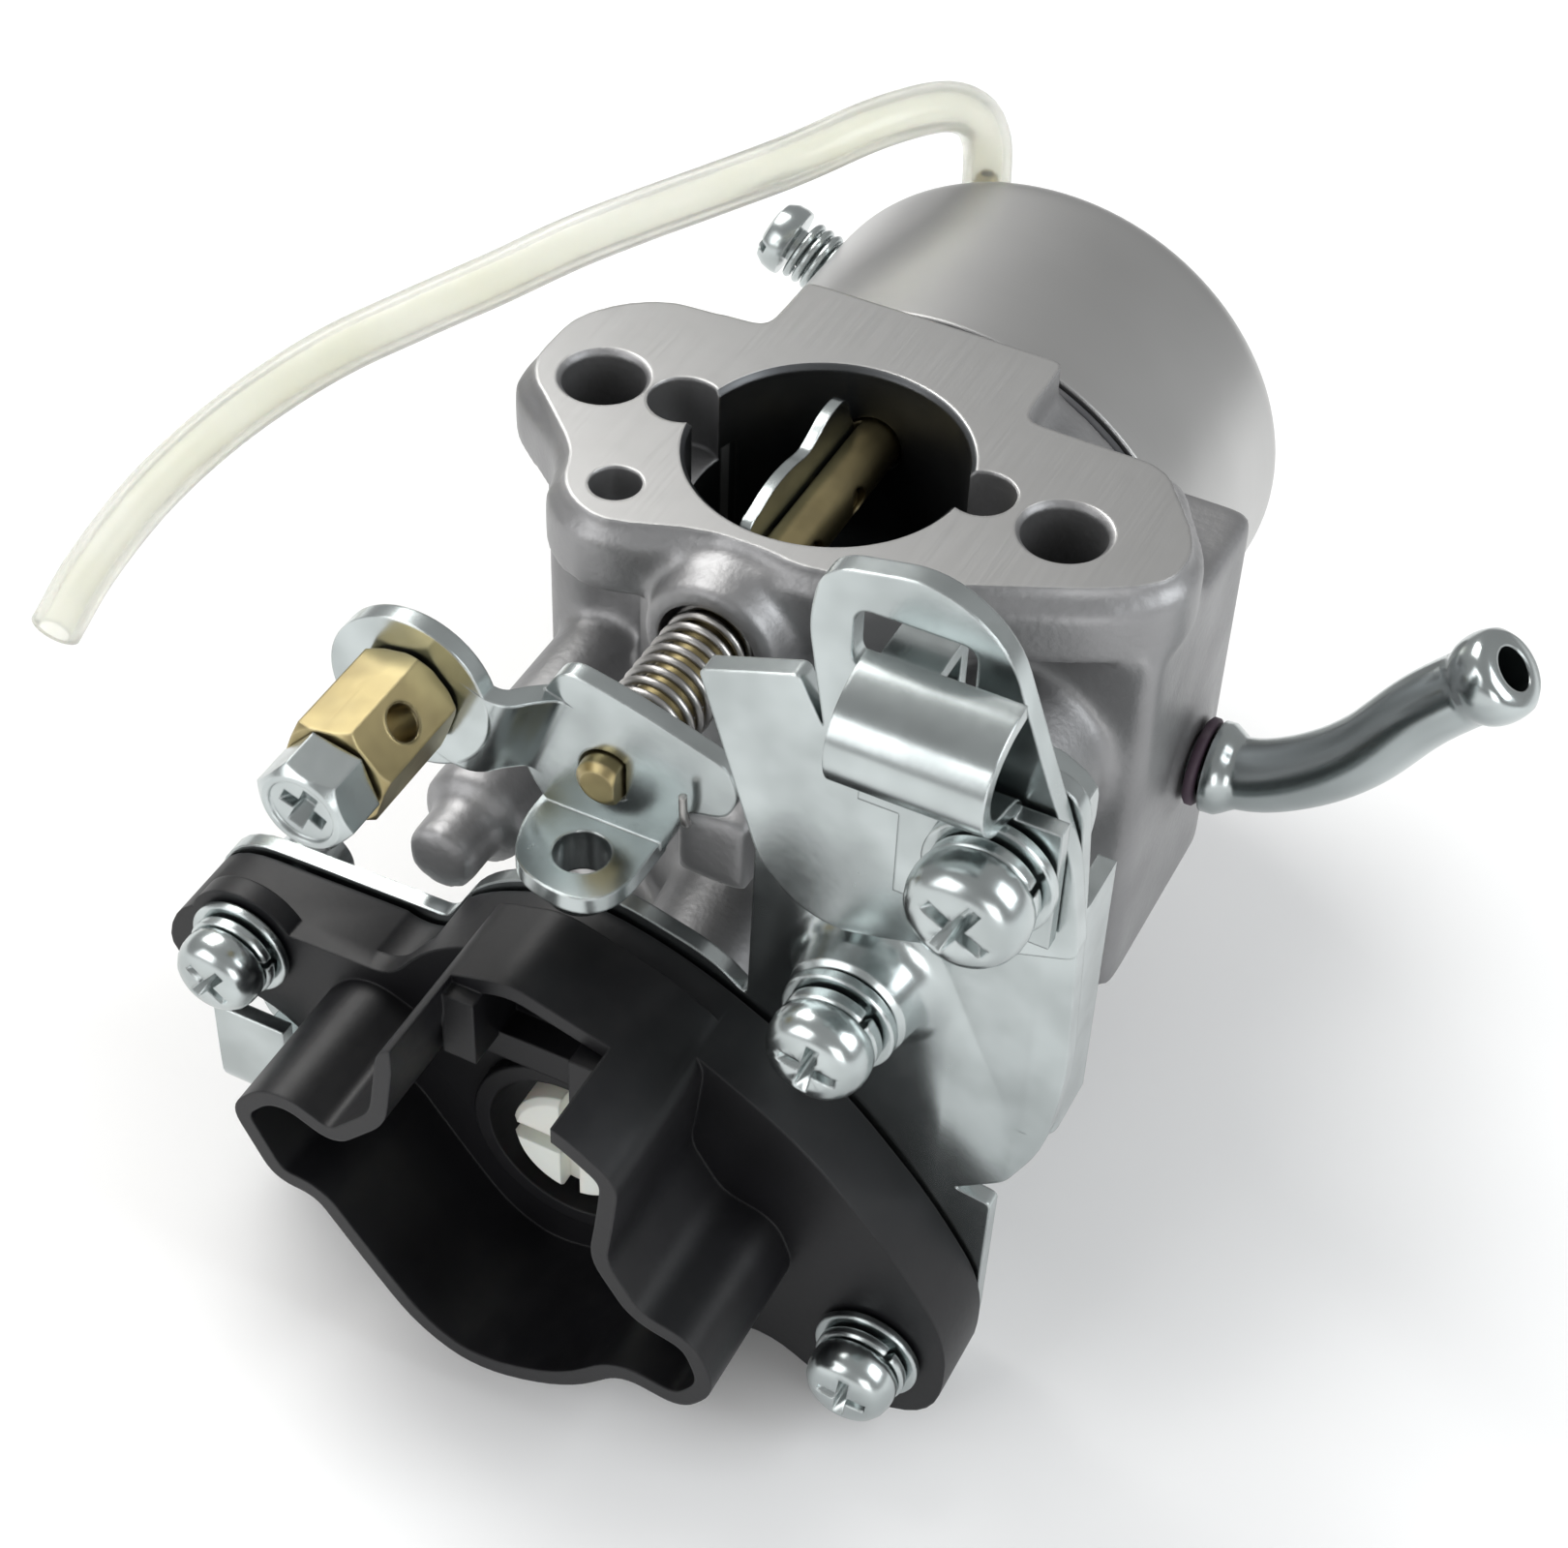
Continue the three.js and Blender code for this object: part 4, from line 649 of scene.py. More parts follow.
def build_body(settings):
    top = BODY_LENGTH
    body = raw_casting(settings.cast_voxel)
    body = cut(body,
               block((-60, 60), (-60, 60), (top, top + 9)),
               block((-60, 60), (-60, 60), (-9, 0)),
               block((-60, 60), (SEAT_Y, SEAT_Y + 9), (-60, 60)))
    pin_x, pin_y = FLOAT_PIN
    lugs = [block((pin_x - 2, pin_x + 2), (SEAT_Y - 1, pin_y + 2.2), (z - 1, z + 1))
            for z in (PIPE_Z - 7, PIPE_Z + 7)]
    body = join(body, rod("Y", BOWL_X, BOWL_Z, SEAT_Y - 1, 43, 4.8), *lugs)
    holes = [
        lathe("Z", 0, 0, [(0, -1), (THROTTLE_R + 0.5, -1), (THROTTLE_R + 0.5, 0), (THROTTLE_R, 0.5),
                          (THROTTLE_R, 19), (VENTURI_R + 0.4, 24.6), (VENTURI_R, 27),
                          (VENTURI_R, 29), (VENTURI_R + 0.5, 31.5), (INTAKE_R - 0.6, 36),
                          (INTAKE_R, 37.6), (INTAKE_R, top - 0.4), (INTAKE_R + 0.4, top),
                          (INTAKE_R + 0.4, top + 1), (0, top + 1)], 96),
        rod("Y", CHOKE_X, CHOKE_Z, CHOKE_BOSS_Y - 1, 17.3, 2.8),
        rod("Y", CHOKE_X, CHOKE_Z, CHOKE_BOSS_Y - 1, CHOKE_BOSS_Y + 3, 4.4),
        rod("Y", 0, THROTTLE_Z, THROTTLE_BOSS_Y - 1, 16.3, 3.4),
        rod("Y", 0, THROTTLE_Z, THROTTLE_BOSS_Y - 1, THROTTLE_BOSS_Y + 2.6, 5.0),
        rod("Y", BOWL_X, BOWL_Z, 5, 49, 2.9),
        rod("Y", *SCREW_M, PLATE_Y, PLATE_Y + 12, 2.5),
        rod("X", PIPE_Y, PIPE_Z, 13.5, BLOCK_X[1] + 2, 2.9),
        rod("Y", NEEDLE_X, PIPE_Z, PIPE_Y - 2.2, SEAT_Y + 1, 2.6),
        rod("Z", -13.2, -12, top - 10, top + 1, 2.2),
        rod("Z", -13.6, 0.4, top - 7, top + 1, 3.1),
        rod("Z", 13.2, 1.2, top - 8, top + 1, 2.9),
        rod("Z", -10.5, 3.6, 20, top - 6, 1.1),
        rod("X", *PLUG, BLOCK_X[0] - 4, BLOCK_X[0] + 4, 2.1),
        rod("Z", pin_x, pin_y, PIPE_Z - 9, PIPE_Z + 9, 1.1),
    ]
    for x in (-STUD_X, STUD_X):
        holes += [rod("Z", x, 0, -1, 9, 3.6), rod("Z", x, 0, 8, top - 6, 3.3),
                  rod("Z", x, 0, top - 7, top + 1, 3.6), rod("Z", x, 0, top - 0.5, top + 0.1, 3.5, 4.1)]
    body = cut(body, *holes)
    finish(body, "body_casting", "housing", "cast", ["carb_body"], ease=0, sharp=38)
    body.data.materials.append(FINISH["machined"])
    body.data.materials.append(FINISH["bore"])
    for face in body.data.polygons:
        c = face.center
        if abs(face.normal.z) > 0.98 and (c.z > 0.0539 or c.z < 0.0001):
            face.material_index = 1
        # Faces inside the bore take the dark bore finish, which paints the shade inside the bore.
        elif math.hypot(c.x, c.y) < 0.0121 and -0.001 < c.z < 0.055 and (
                Vector((c.x, c.y, 0)).dot(face.normal) < 0 or abs(face.normal.z) > 0.5):
            face.material_index = 2


# ---------------------------------------------------------------- float bowl
def build_bowl(settings):
    y0, y1 = BOWL_Y
    r, wall = BOWL_R, 1.8
    curve = [(r - 3.6 + 3.4 * math.cos(q), y1 - 3.6 + 3.6 * math.sin(q))
             for q in (math.radians(a) for a in range(0, 91, 10))]
    cup = lathe("Y", BOWL_X, BOWL_Z,
                [(0, y1 - wall), (r - 5.2, y1 - wall), (r - 3.4, y1 - 2.4), (r - 2.4, y1 - 4.4),
                 (r - wall, y0), (r, y0), (r, y0 + 2), (r - 0.2, y1 - 5)] + curve + [(0, y1)], 128)
    drain_block = block((-13.6, -5.2), (y1 - 1.5, y1 + 8.2), (31.2, NIPPLE[2] - 0.6))
    boss = cut(join(drain_block, on_drain_axis(rod("X", 0, 0, 0, 12, 3.7))),
               rod("Y", BOWL_X, BOWL_Z, y0, y1 - wall, r - 4.6, sides=96))
    bowl = join(cup, rod("Y", BOWL_X, BOWL_Z, y1 - 1, y1 + 1, 6.4), boss)
    bowl = cut(bowl, rod("Y", BOWL_X, BOWL_Z, y1 - 4, y1 + 3, 2.8),
               on_drain_axis(rod("X", 0, 0, -1, 9, 2.1)),
               rod("Z", NIPPLE[0], NIPPLE[1], 33, NIPPLE[2], 1.7))
    finish(bowl, "bowl_shell", "housing", "spun", ["float_bowl"], ease=0.35)


def ring(axis, a, b, t0, t1, outer, hole, chamfer=0.15, sides=72):
    """A plain ring with its outer edges broken."""
    c = chamfer
    return lathe(axis, a, b, [(hole, t0), (outer - c, t0), (outer, t0 + c), (outer, t1 - c),
                              (outer - c, t1), (hole, t1)], sides)


def build_bowl_fittings(settings):
    y = BOWL_Y[1] + 1
    gasket = ring("Y", BOWL_X, BOWL_Z, SEAT_Y + 0.3, BOWL_Y[0] - 0.3, BOWL_R - 0.3, BOWL_R - 2.2, 0.1,
                  128)
    finish(gasket, "bowl_seal", "housing", "fibre", ["bowl_gasket"], ease=0)
    washer = ring("Y", BOWL_X, BOWL_Z, y + 0.3, y + 1.3, 5.4, 2.8)
    finish(washer, "bolt_seal", "housing", "fibre", ["bowl_bolt_washer"], ease=0, sharp=40)
    hexagon = rod("Y", BOWL_X, BOWL_Z, y + 1.6, y + 6, 5.2, sides=6)
    crown = lathe("Y", BOWL_X, BOWL_Z, [(0, y + 1), (6, y + 1), (6, y + 5), (4.4, y + 6), (0, y + 6)])
    head = combine(hexagon, "INTERSECT", [crown])
    stem = [(0, 41), (1.9, 41), (2.5, 41.7)]
    for k in range(14):
        stem += [(2.5, 42 + 0.6 * k), (2.2, 42.3 + 0.6 * k)]
    stem += [(2.5, 50.6), (2.5, y + 2), (0, y + 2)]
    bolt = join(head, lathe("Y", BOWL_X, BOWL_Z, stem, 40))
    finish(bolt, "bowl_hex_bolt", "housing", "zinc", ["bowl_bolt"], ease=0.15)


# ---------------------------------------------------------------- fuel inlet
PIPE_ROUTE = [(29.5, 9, 26.6), (34.8, 9, 26.6), (38.6, 9, 27.5), (42.9, 9, 30.4), (46.6, 9, 34.4),
              (50.8, 9, 41), (56.6, 9, 47.7)]


def build_inlet(settings):
    path, length = smooth_path(PIPE_ROUTE, 0.5)

    def outer(t):
        s, rest = t * length, (1 - t) * length
        if s < 4.2:
            return 2.5
        if s < 5.6:
            return 4.1
        if s < 7.0:
            return 4.1 - 0.9 * (s - 5.6) / 1.4
        if rest < 4.6:
            bulge = 0.75 * max(0.0, 1 - ((rest - 2.0) / 2.2) ** 2) ** 0.7 if abs(rest - 2) < 2.2 else 0
            return PIPE_R + bulge - (0.5 * (0.5 - rest) if rest < 0.5 else 0)
        return PIPE_R

    pipe = sweep(path, outer, lambda t: 1.95, 48)
    finish(pipe, "fuel_pipe", "housing", "pipe", ["fuel_inlet_pipe"], ease=0, sharp=50)
    seal = lathe("X", PIPE_Y, PIPE_Z, [(3.0, 32.5), (3.7, 32.5), (4.0, 32.75), (4.0, 33.25),
                                       (3.7, 33.5), (3.0, 33.5)])
    finish(seal, "fuel_pipe_seal", "housing", "rubber", ["inlet_pipe_seal"], ease=0)


# ---------------------------------------------------------------- drain screw, nipple and hose
HOSE_ROUTE = [
    (-9.4, 54, 40.0), (-9.4, 54, 43.6), (-9.4, 54, 47.2), (-9.6, 53.6, 51), (-10.4, 51.6, 54.6),
    (-12.2, 47.6, 57), (-15.4, 40.6, 58), (-19.8, 33.4, 57), (-25, 27, 55.6), (-29, 21.6, 54.8),
    (-33.2, 16, 53.7), (-38, 10.6, 51.5), (-43, 5.4, 49.3), (-48.4, -1.2, 46.9), (-54, -8, 42.6),
    (-59, -14, 36.8), (-62.8, -19.2, 30.2), (-65, -22.8, 24.6)]


def build_drain(settings):
    head = lathe("X", 0, 0, [(0, -9.2), (2.3, -9.2), (3.0, -8.9), (3.5, -8.0), (3.6, -7.0),
                             (3.5, -6.4), (0, -6.4)])
    stem = [(0, -6.6), (1.75, -6.6), (1.75, -1)]
    for k in range(12):
        stem += [(1.75, -0.8 + 0.6 * k), (1.5, -0.5 + 0.6 * k)]
    stem += [(1.75, 6.6), (0.3, 8.4), (0, 8.4)]
    screw = join(head, lathe("X", 0, 0, stem, 40))
    screw = cut(screw, block((-9.8, -8.2), (-4, 4), (-0.5, 0.5)))
    finish(on_drain_axis(screw), "drain_thumb_screw", "drain", "zinc", ["drain_screw"], ease=0.1)
    coil = run_tree("drain_coil", bpy.data.node_groups["coil_spring"], [{"at": (0, 0, 0)}], {
        "Turns": 4.5, "Radius": 2.75, "Length": 4.6, "Wire": 0.42, "Finish": FINISH["zinc"]})
    turned_copy(coil, Matrix.Translation((-5.6, 0, 0)) @ Matrix.Rotation(math.pi / 2, 4, "Y"))
    finish(on_drain_axis(coil), "drain_coil", "housing", "zinc", ["drain_screw_spring"],
           ease=0)
    x, y, z = NIPPLE
    nipple = lathe("Z", x, y, [(0.7, z - 4), (1.2, z - 4), (1.2, z - 0.3), (2.4, z - 0.3),
                               (2.6, z - 0.1), (2.6, z + 1.0), (2.4, z + 1.2), (1.2, z + 1.2),
                               (1.2, z + 6.4), (1.4, z + 6.6), (1.1, z + 8.6), (0.7, z + 9)], 48)
    finish(nipple, "drain_spigot", "housing", "brass", ["drain_nipple"], ease=0, sharp=40)
    path, length = smooth_path(HOSE_ROUTE, 1.2)
    hose = sweep(path, lambda t: 2.35, lambda t: 1.46, 32)
    finish(hose, "drain_tube", "housing", "hose", ["drain_hose"], ease=0, sharp=60)


# ---------------------------------------------------------------- choke
def build_choke_shaft(settings):
    flat = block((CHOKE_X - 4, CHOKE_X - 1), (0.4 - INTAKE_R, INTAKE_R - 0.4),
                 (CHOKE_Z - 4, CHOKE_Z + 4))
    tenon = lathe("Y", CHOKE_X, CHOKE_Z, [(0, -36.5), (1.5, -36.5), (2.1, -36.0), (2.2, -35.4),
                                          (2.2, -32.9), (0, -32.9)], 48)
    tenon = cut(tenon, block((CHOKE_X + 1.4, CHOKE_X + 4), (-38, -33), (CHOKE_Z - 4, CHOKE_Z + 4)))
    holes = [rod("X", y, CHOKE_Z, CHOKE_X - 4, CHOKE_X + 4, 1.25, sides=32) for y in (-4, 4)]
    shaft = cut(join(rod("Y", CHOKE_X, CHOKE_Z, -33.0, 17, 2.5), tenon), flat, *holes)
    finish(shaft, "choke_spindle", "choke", "brass", ["choke_shaft"], ease=0.15)


def build_choke_plate(settings):
    half, lower = 10.8, 9.8
    outline = [(half * math.cos(q), lower * math.sin(q))
               for q in (math.pi + math.pi * k / 40 for k in range(41))]
    wave = [(9.6, 4.2), (9.2, 5.4), (8.3, 6.4), (6.8, 6.7), (5.0, 6.5), (3.4, 5.9), (2.0, 5.45),
            (0.8, 5.5), (-1.0, 5.9), (-3.2, 6.1), (-5.4, 5.9), (-7.2, 5.4), (-8.8, 4.9)]
    smooth, _ = smooth_path([(half, 0, 0), (10.5, 2.2, 0)] + [(u, v, 0) for u, v in wave]
                            + [(-10.3, 2.4, 0), (-half, 0, 0)], 0.4)
    points = [(u, v + CHOKE_Z) for u, v in outline[:-1]] + [
        (p.x, p.y + CHOKE_Z) for p in smooth[:-1]]
    plate = cut(prism("X", points, CHOKE_X - 2.3, CHOKE_X - 1.3),
                *[rod("X", y, CHOKE_Z, CHOKE_X - 4, CHOKE_X, 1.25, sides=32) for y in (-4, 4)])
    finish(plate, "choke_valve", "choke", "zinc", ["choke_plate"], ease=0.12)
    for side, y in (("front", -4), ("back", 4)):
        x = CHOKE_X - 2.3
        screw = lathe("X", y, CHOKE_Z, [(0, x - 1.5), (0.8, x - 1.5), (1.5, x - 1.3), (1.95, x - 0.8),
                                        (2.0, x - 0.3), (0.95, x - 0.3), (0.95, CHOKE_X + 1.8),
                                        (0.7, CHOKE_X + 2), (0, CHOKE_X + 2)], 40)
        screw = cut(screw, block((x - 2, x - 0.9), (y - 3, y + 3), (CHOKE_Z - 0.3, CHOKE_Z + 0.3)))
        finish(screw, "choke_valve_screw_" + side, "choke", "brass",
               ["choke_plate_screw_" + side], ease=0.08)


def build_choke_lever(settings):
    back = LEVER_Y + LEVER_T
    main = slab("Y", [(-5.2, 55.6, 2), (0.6, 54.4, 3), (9.0, 51.6, 1), (10.0, 49.2, 1.2),
                      (9.2, 46.6, 1.2), (5.4, 45.6, 1), (3.6, 40.0, 1.5), (-5.6, 39.6, 3),
                      (-8.8, 44.4, 3), (-8.4, 48.6, 2)], LEVER_Y, back)
    line = [(2.6, -34.1), (4.6, -34.1), (6.2, -34.5), (7.6, -36.0), (8.8, -37.6), (10.2, -38.2),
            (12.6, -38.2)]
    path, _ = smooth_path([(u, v, 0) for u, v in line], 0.3)
    strip = thicken([(p.x, p.y) for p in path], LEVER_T)
    step = prism("Z", strip, -4.3, 4.3)
    turned_copy(step, Matrix.Translation((CHOKE_X, 0, CHOKE_Z))
                @ Matrix.Rotation(-math.radians(160), 4, "Y"))
    eye = rod("Y", EYE_X, EYE_Z, EYE_Y, EYE_Y + LEVER_T, 6.9, sides=72)
    shelf = slab("Z", [(-7.2, LEVER_Y + 1, 0), (3.4, LEVER_Y + 1, 0), (3.4, -41, 3), (0.6, -43.6, 3),
                       (-5.4, -42.4, 3), (-7.2, -38, 3)], 39.6, 41.2)
    collar = lathe("Z", -1.4, -38.6, [(2.3, 37.0), (2.8, 37.0), (3.0, 37.3), (3.1, 39.0), (3.5, 39.5),
                                      (4.0, 39.7), (4.0, 40.4), (2.3, 40.4)], 56)
    lever = join(main, step, eye, shelf, collar)
    slot = cut(rod("Y", CHOKE_X, CHOKE_Z, LEVER_Y - 2, back + 1, 2.45, sides=48),
               block((CHOKE_X + 1.65, CHOKE_X + 4), (LEVER_Y - 3, back + 2),
                     (CHOKE_Z - 4, CHOKE_Z + 4)))
    lever = cut(lever, rod("Z", -1.4, -38.6, 36, 42, 2.3, sides=48), slot,
                rod("Y", EYE_X, EYE_Z, EYE_Y - 1, EYE_Y + 3, 2.4, sides=48))
    finish(lever, "choke_arm", "choke", "zinc", ["choke_lever"], ease=0.22)


def thicken(line, thick):
    """The closed outline of a strip of even thickness along an open line of points."""
    pts = [Vector(p) for p in line]
    left, right = [], []
    for i, p in enumerate(pts):
        run = (pts[min(i + 1, len(pts) - 1)] - pts[max(i - 1, 0)]).normalized()
        across = Vector((-run.y, run.x)) * (thick / 2)
        left.append(p + across)
        right.append(p - across)
    return left + right[::-1]


def cross_tool(span, depth, y, half=0.24):
    """A tapered cross that cuts a screw's recess, sunk from y towards +Y."""
    bm = bmesh.new()

    def loop(size, width, level):
        s, w = size, width
        shape = [(s, -w), (s, w), (w, w), (w, s), (-w, s), (-w, w), (-s, w), (-s, -w), (-w, -w),
                 (-w, -s), (w, -s), (w, -w)]
        return [bm.verts.new((u, level, v)) for u, v in shape]

    top = loop(span * 1.06, span * half * 1.06, y - 0.4)
    low = loop(span * 0.42, span * half * 0.7, y + depth)
    bm.faces.new(top)
    bm.faces.new(low[::-1])
    for i in range(12):
        k = (i + 1) % 12
        bm.faces.new((top[i], low[i], low[k], top[k]))
    return new_object("cross", bm)


def build_cable_end(settings):
    front = EYE_Y - 0.3 - 10.0
    back = EYE_Y - 0.3
    across = 4.1 / math.cos(math.pi / 6)
    hexagon = rod("Y", 0, 0, front, back, across, sides=6)
    turned_copy(hexagon, Matrix.Rotation(math.radians(19), 4, "Y"))
    crown = lathe("Y", 0, 0, [(0, front), (4.2, front), (4.9, front + 0.6), (4.9, back - 0.6),
                              (4.2, back), (0, back)], 72)
    brass = combine(hexagon, "INTERSECT", [crown])
    rivet = lathe("Y", 0, 0, [(0, back - 1), (2.1, back - 1), (2.1, back + 2.5), (3.1, back + 2.5),
                              (3.0, back + 2.9), (2.2, back + 3.2), (0, back + 3.2)], 48)
    hole = turned_copy(rod("X", 0, 0, -8, 8, 1.5, sides=48), Matrix.Translation((0, back - 5.2, 0))
                       @ Matrix.Rotation(-math.radians(41), 4, "Y"))
    mouths = [turned_copy(rod("X", 0, 0, 3.85 * s if s > 0 else -5.0, 5.0 if s > 0 else -3.85,
                              1.5 if s > 0 else 2.3, 2.3 if s > 0 else 1.5, 48),
                          Matrix.Translation((0, back - 5.2, 0))
                          @ Matrix.Rotation(-math.radians(41), 4, "Y")) for s in (1, -1)]
    piece = cut(join(brass, rivet), hole, *mouths, rod("Y", 0, 0, front - 1, back - 4.6, 1.9))
    turned_copy(piece, Matrix.Translation((EYE_X, 0, EYE_Z)))
    finish(piece, "cable_end_block", "cable_end", "brass", ["cable_anchor"], ease=0.12)
    tip = front - 0.3
    head = rod("Y", 0, 0, tip - 4.2, tip, 4.15, sides=6)
    turned_copy(head, Matrix.Rotation(math.radians(42), 4, "Y"))
    crown = lathe("Y", 0, 0, [(0, tip - 4.2), (3.3, tip - 4.2), (4.2, tip - 3.5), (4.2, tip), (0, tip)])
    head = combine(head, "INTERSECT", [crown])
    head = join(head, rod("Y", 0, 0, tip - 0.4, front + 3.4, 1.6, sides=40))
    dish = lathe("Y", 0, 0, [(0, tip - 4.6), (3.0, tip - 4.6), (2.7, tip - 3.9), (0, tip - 3.7)])
    recess = turned_copy(cross_tool(2.3, 2.0, tip - 4.2, 0.3), Matrix.Rotation(math.radians(25), 4, "Y"))
    screw = turned_copy(cut(head, dish, recess), Matrix.Translation((EYE_X, 0, EYE_Z)))
    finish(screw, "cable_end_screw", "cable_end", "zinc", ["anchor_clamp_screw"], ease=0.12)


def build_choke_spring(settings):
    y0, y1 = CHOKE_BOSS_Y + 2.4, LEVER_Y + LEVER_T + 1.2
    coil = run_tree("return_coil", bpy.data.node_groups["coil_spring"], [{"at": (0, 0, 0)}], {
        "Turns": float(settings.spring_turns), "Radius": 3.45, "Length": y0 - y1, "Wire": 0.36,
        "Finish": FINISH["steel"]})
    turned_copy(coil, Matrix.Translation((CHOKE_X, y0, CHOKE_Z)) @ Matrix.Rotation(math.pi / 2, 4, "X"))
    tail, _ = smooth_path([(2.2, y1 + 0.1, 46.2), (3.6, y1 - 0.6, 45.4), (5.0, y1 - 2.0, 44.7),
                           (5.9, y1 - 3.2, 44.9), (6.0, y1 - 3.9, 46.2), (5.9, y1 - 3.9, 48.4)], 0.3)
    piece = join(coil, sweep(tail, lambda t: 0.34, None, 12))
    finish(piece, "return_coil", None, "steel", ["choke_return_spring"], ease=0, sharp=60)
    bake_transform(piece)


# ---------------------------------------------------------------- throttle
def build_throttle(settings):
    z = THROTTLE_Z
    shaft = cut(rod("Y", 0, z, -38.6, 16, 3.1),
                block((-4, 4), (-10.3, 10.3), (z + 1.0, z + 5)),
                rod("Z", 0, 0, z - 5, z + 5, 1.3, sides=32))
    finish(shaft, "throttle_spindle", "throttle", "steel", ["throttle_shaft"], ease=0.2)
    plate = ring("Z", 0, 0, z + 1.3, z + 2.2, 9.75, 1.3, 0.12, 96)
    finish(plate, "throttle_valve", "throttle", "brass", ["throttle_plate"], ease=0, sharp=40)
    screw = lathe("Z", 0, 0, [(0, z - 2), (1.0, z - 2), (1.0, z + 2.5), (2.2, z + 2.5),
                              (2.1, z + 3.1), (1.5, z + 3.7), (0, z + 3.8)], 40)
    screw = cut(screw, block((-3, 3), (-0.3, 0.3), (z + 3.2, z + 5)))
    finish(screw, "throttle_valve_screw", "throttle", "brass", ["throttle_plate_screw"], ease=0.08)
    seal = ring("Y", 0, z, THROTTLE_BOSS_Y + 0.3, THROTTLE_BOSS_Y + 2.2, 4.7, 3.4)
    finish(seal, "throttle_seal_ring", "housing", "fibre", ["throttle_shaft_seal"], ease=0, sharp=40)
    coupling = cut(lathe("Y", 0, z, [(0, -44), (5.0, -44), (5.5, -43.5), (5.5, -40.2), (4.9, -39.8),
                                     (4.9, -36), (0, -36)]),
                   rod("Y", 0, z, -39, -35, 3.4), block((-6, 6), (-45, -41), (z - 0.9, z + 0.9)),
                   block((-0.9, 0.9), (-45, -42.4), (z - 6, z + 6)))
    finish(coupling, "motor_dog", "throttle", "acetal", ["motor_coupling"], ease=0.2)


# ---------------------------------------------------------------- motor base plate
def build_base_plate(settings):
    back = PLATE_Y + PLATE_T
    sheet = slab("Y", [
        (-41, 12, 5), (-38.2, 22.4, 5), (-16.4, 23, 1), (-13, 29.2, 4), (-3, 33.8, 6), (8.2, 30.6, 3),
        (11.3, 28, 1), (11.6, 46.5, 2), (17, 59, 3), (27, 62.5, 3), (36.6, 62, 3), (37.6, 48, 2),
        (38.2, 33, 3), (37.2, 24, 3), (34.4, 18.3, 1), (30.2, 15.2, 0.6), (33.5, 14.8, 0.6),
        (33.2, -4, 4), (28, -9, 5), (18, -5, 4), (0, -8.6, 10), (-14, -6, 8), (-26, -0.4, 2),
        (-36, -0.6, 2)], PLATE_Y, back)
    lip_line, _ = smooth_path([(34.6, -34.25, 0), (35.8, -34.25, 0), (36.7, -33.6, 0), (36.8, -32.2, 0),
                               (36.8, -28.2, 0)], 0.4)
    lip = prism("Z", thicken([(p.x, p.y) for p in lip_line], PLATE_T), 25, 50)
    collar = lathe("Y", *SCREW_M, [(0, PLATE_Y - 4.2), (4.4, PLATE_Y - 4.2), (4.9, PLATE_Y - 3.8),
                                   (5.3, PLATE_Y - 1.6), (6.0, PLATE_Y - 0.5), (7.2, PLATE_Y + 0.1),
                                   (7.2, PLATE_Y + 0.6), (0, PLATE_Y + 0.6)])
    clip_line, _ = smooth_path([(-34.2, 1.1, 0), (-38.0, 1.1, 0), (-42.0, 1.2, 0), (-43.1, 2.2, 0),
                                (-43.3, 4.0, 0), (-43.3, 11.0, 0)], 0.4)
    clip = prism("X", thicken([(p.x, p.y) for p in clip_line], 1.4), -35, -28)
    nubs = [rod("Y", *at, back - 0.2, back + 3, 3.4, 3.2) for at in (SCREW_LEFT, SCREW_RIGHT)]
    plate = join(sheet, lip, collar, clip, *nubs)
    plate = cut(plate, rod("Y", 0, THROTTLE_Z, PLATE_Y - 1, back + 1, 9),
                rod("Y", *SCREW_M, PLATE_Y - 6, back + 1, 2.5, sides=48),
                rod("Y", *SCREW_CLAMP, PLATE_Y - 1, back + 1, 2.8, sides=48),
                *[rod("Y", *at, PLATE_Y - 1, back + 4, 2.2, sides=48)
                  for at in (SCREW_LEFT, SCREW_RIGHT)])
    finish(plate, "motor_plate", "housing", "zinc", ["motor_base_plate"], ease=0.2)


# ---------------------------------------------------------------- motor cup
CUP_RIM = [
    (-24.6, 16.4, 2), (-21.6, 20.0, 2), (-18.6, 20.6, 1.5), (-14.8, 18.9, 1), (-10.8, 23.2, 1.5),
    (-9.6, 31.4, 1.5), (-3.2, 33.4, 2), (6.6, 30.6, 2), (11.4, 27.4, 2), (10.8, 21.6, 2),
    (10.2, 17.4, 1.5), (13.2, 12.8, 1.5), (18.1, 11.7, 2), (20.1, 6.6, 2.4), (17.0, 2.4, 2),
    (11.4, 3.2, 2), (6.2, -2.2, 5), (-2.2, -5.2, 6), (-8.0, -2.8, 6), (-12.6, 3.0, 4),
    (-17.0, 9.0, 1.5), (-21.0, 9.2, 2)]


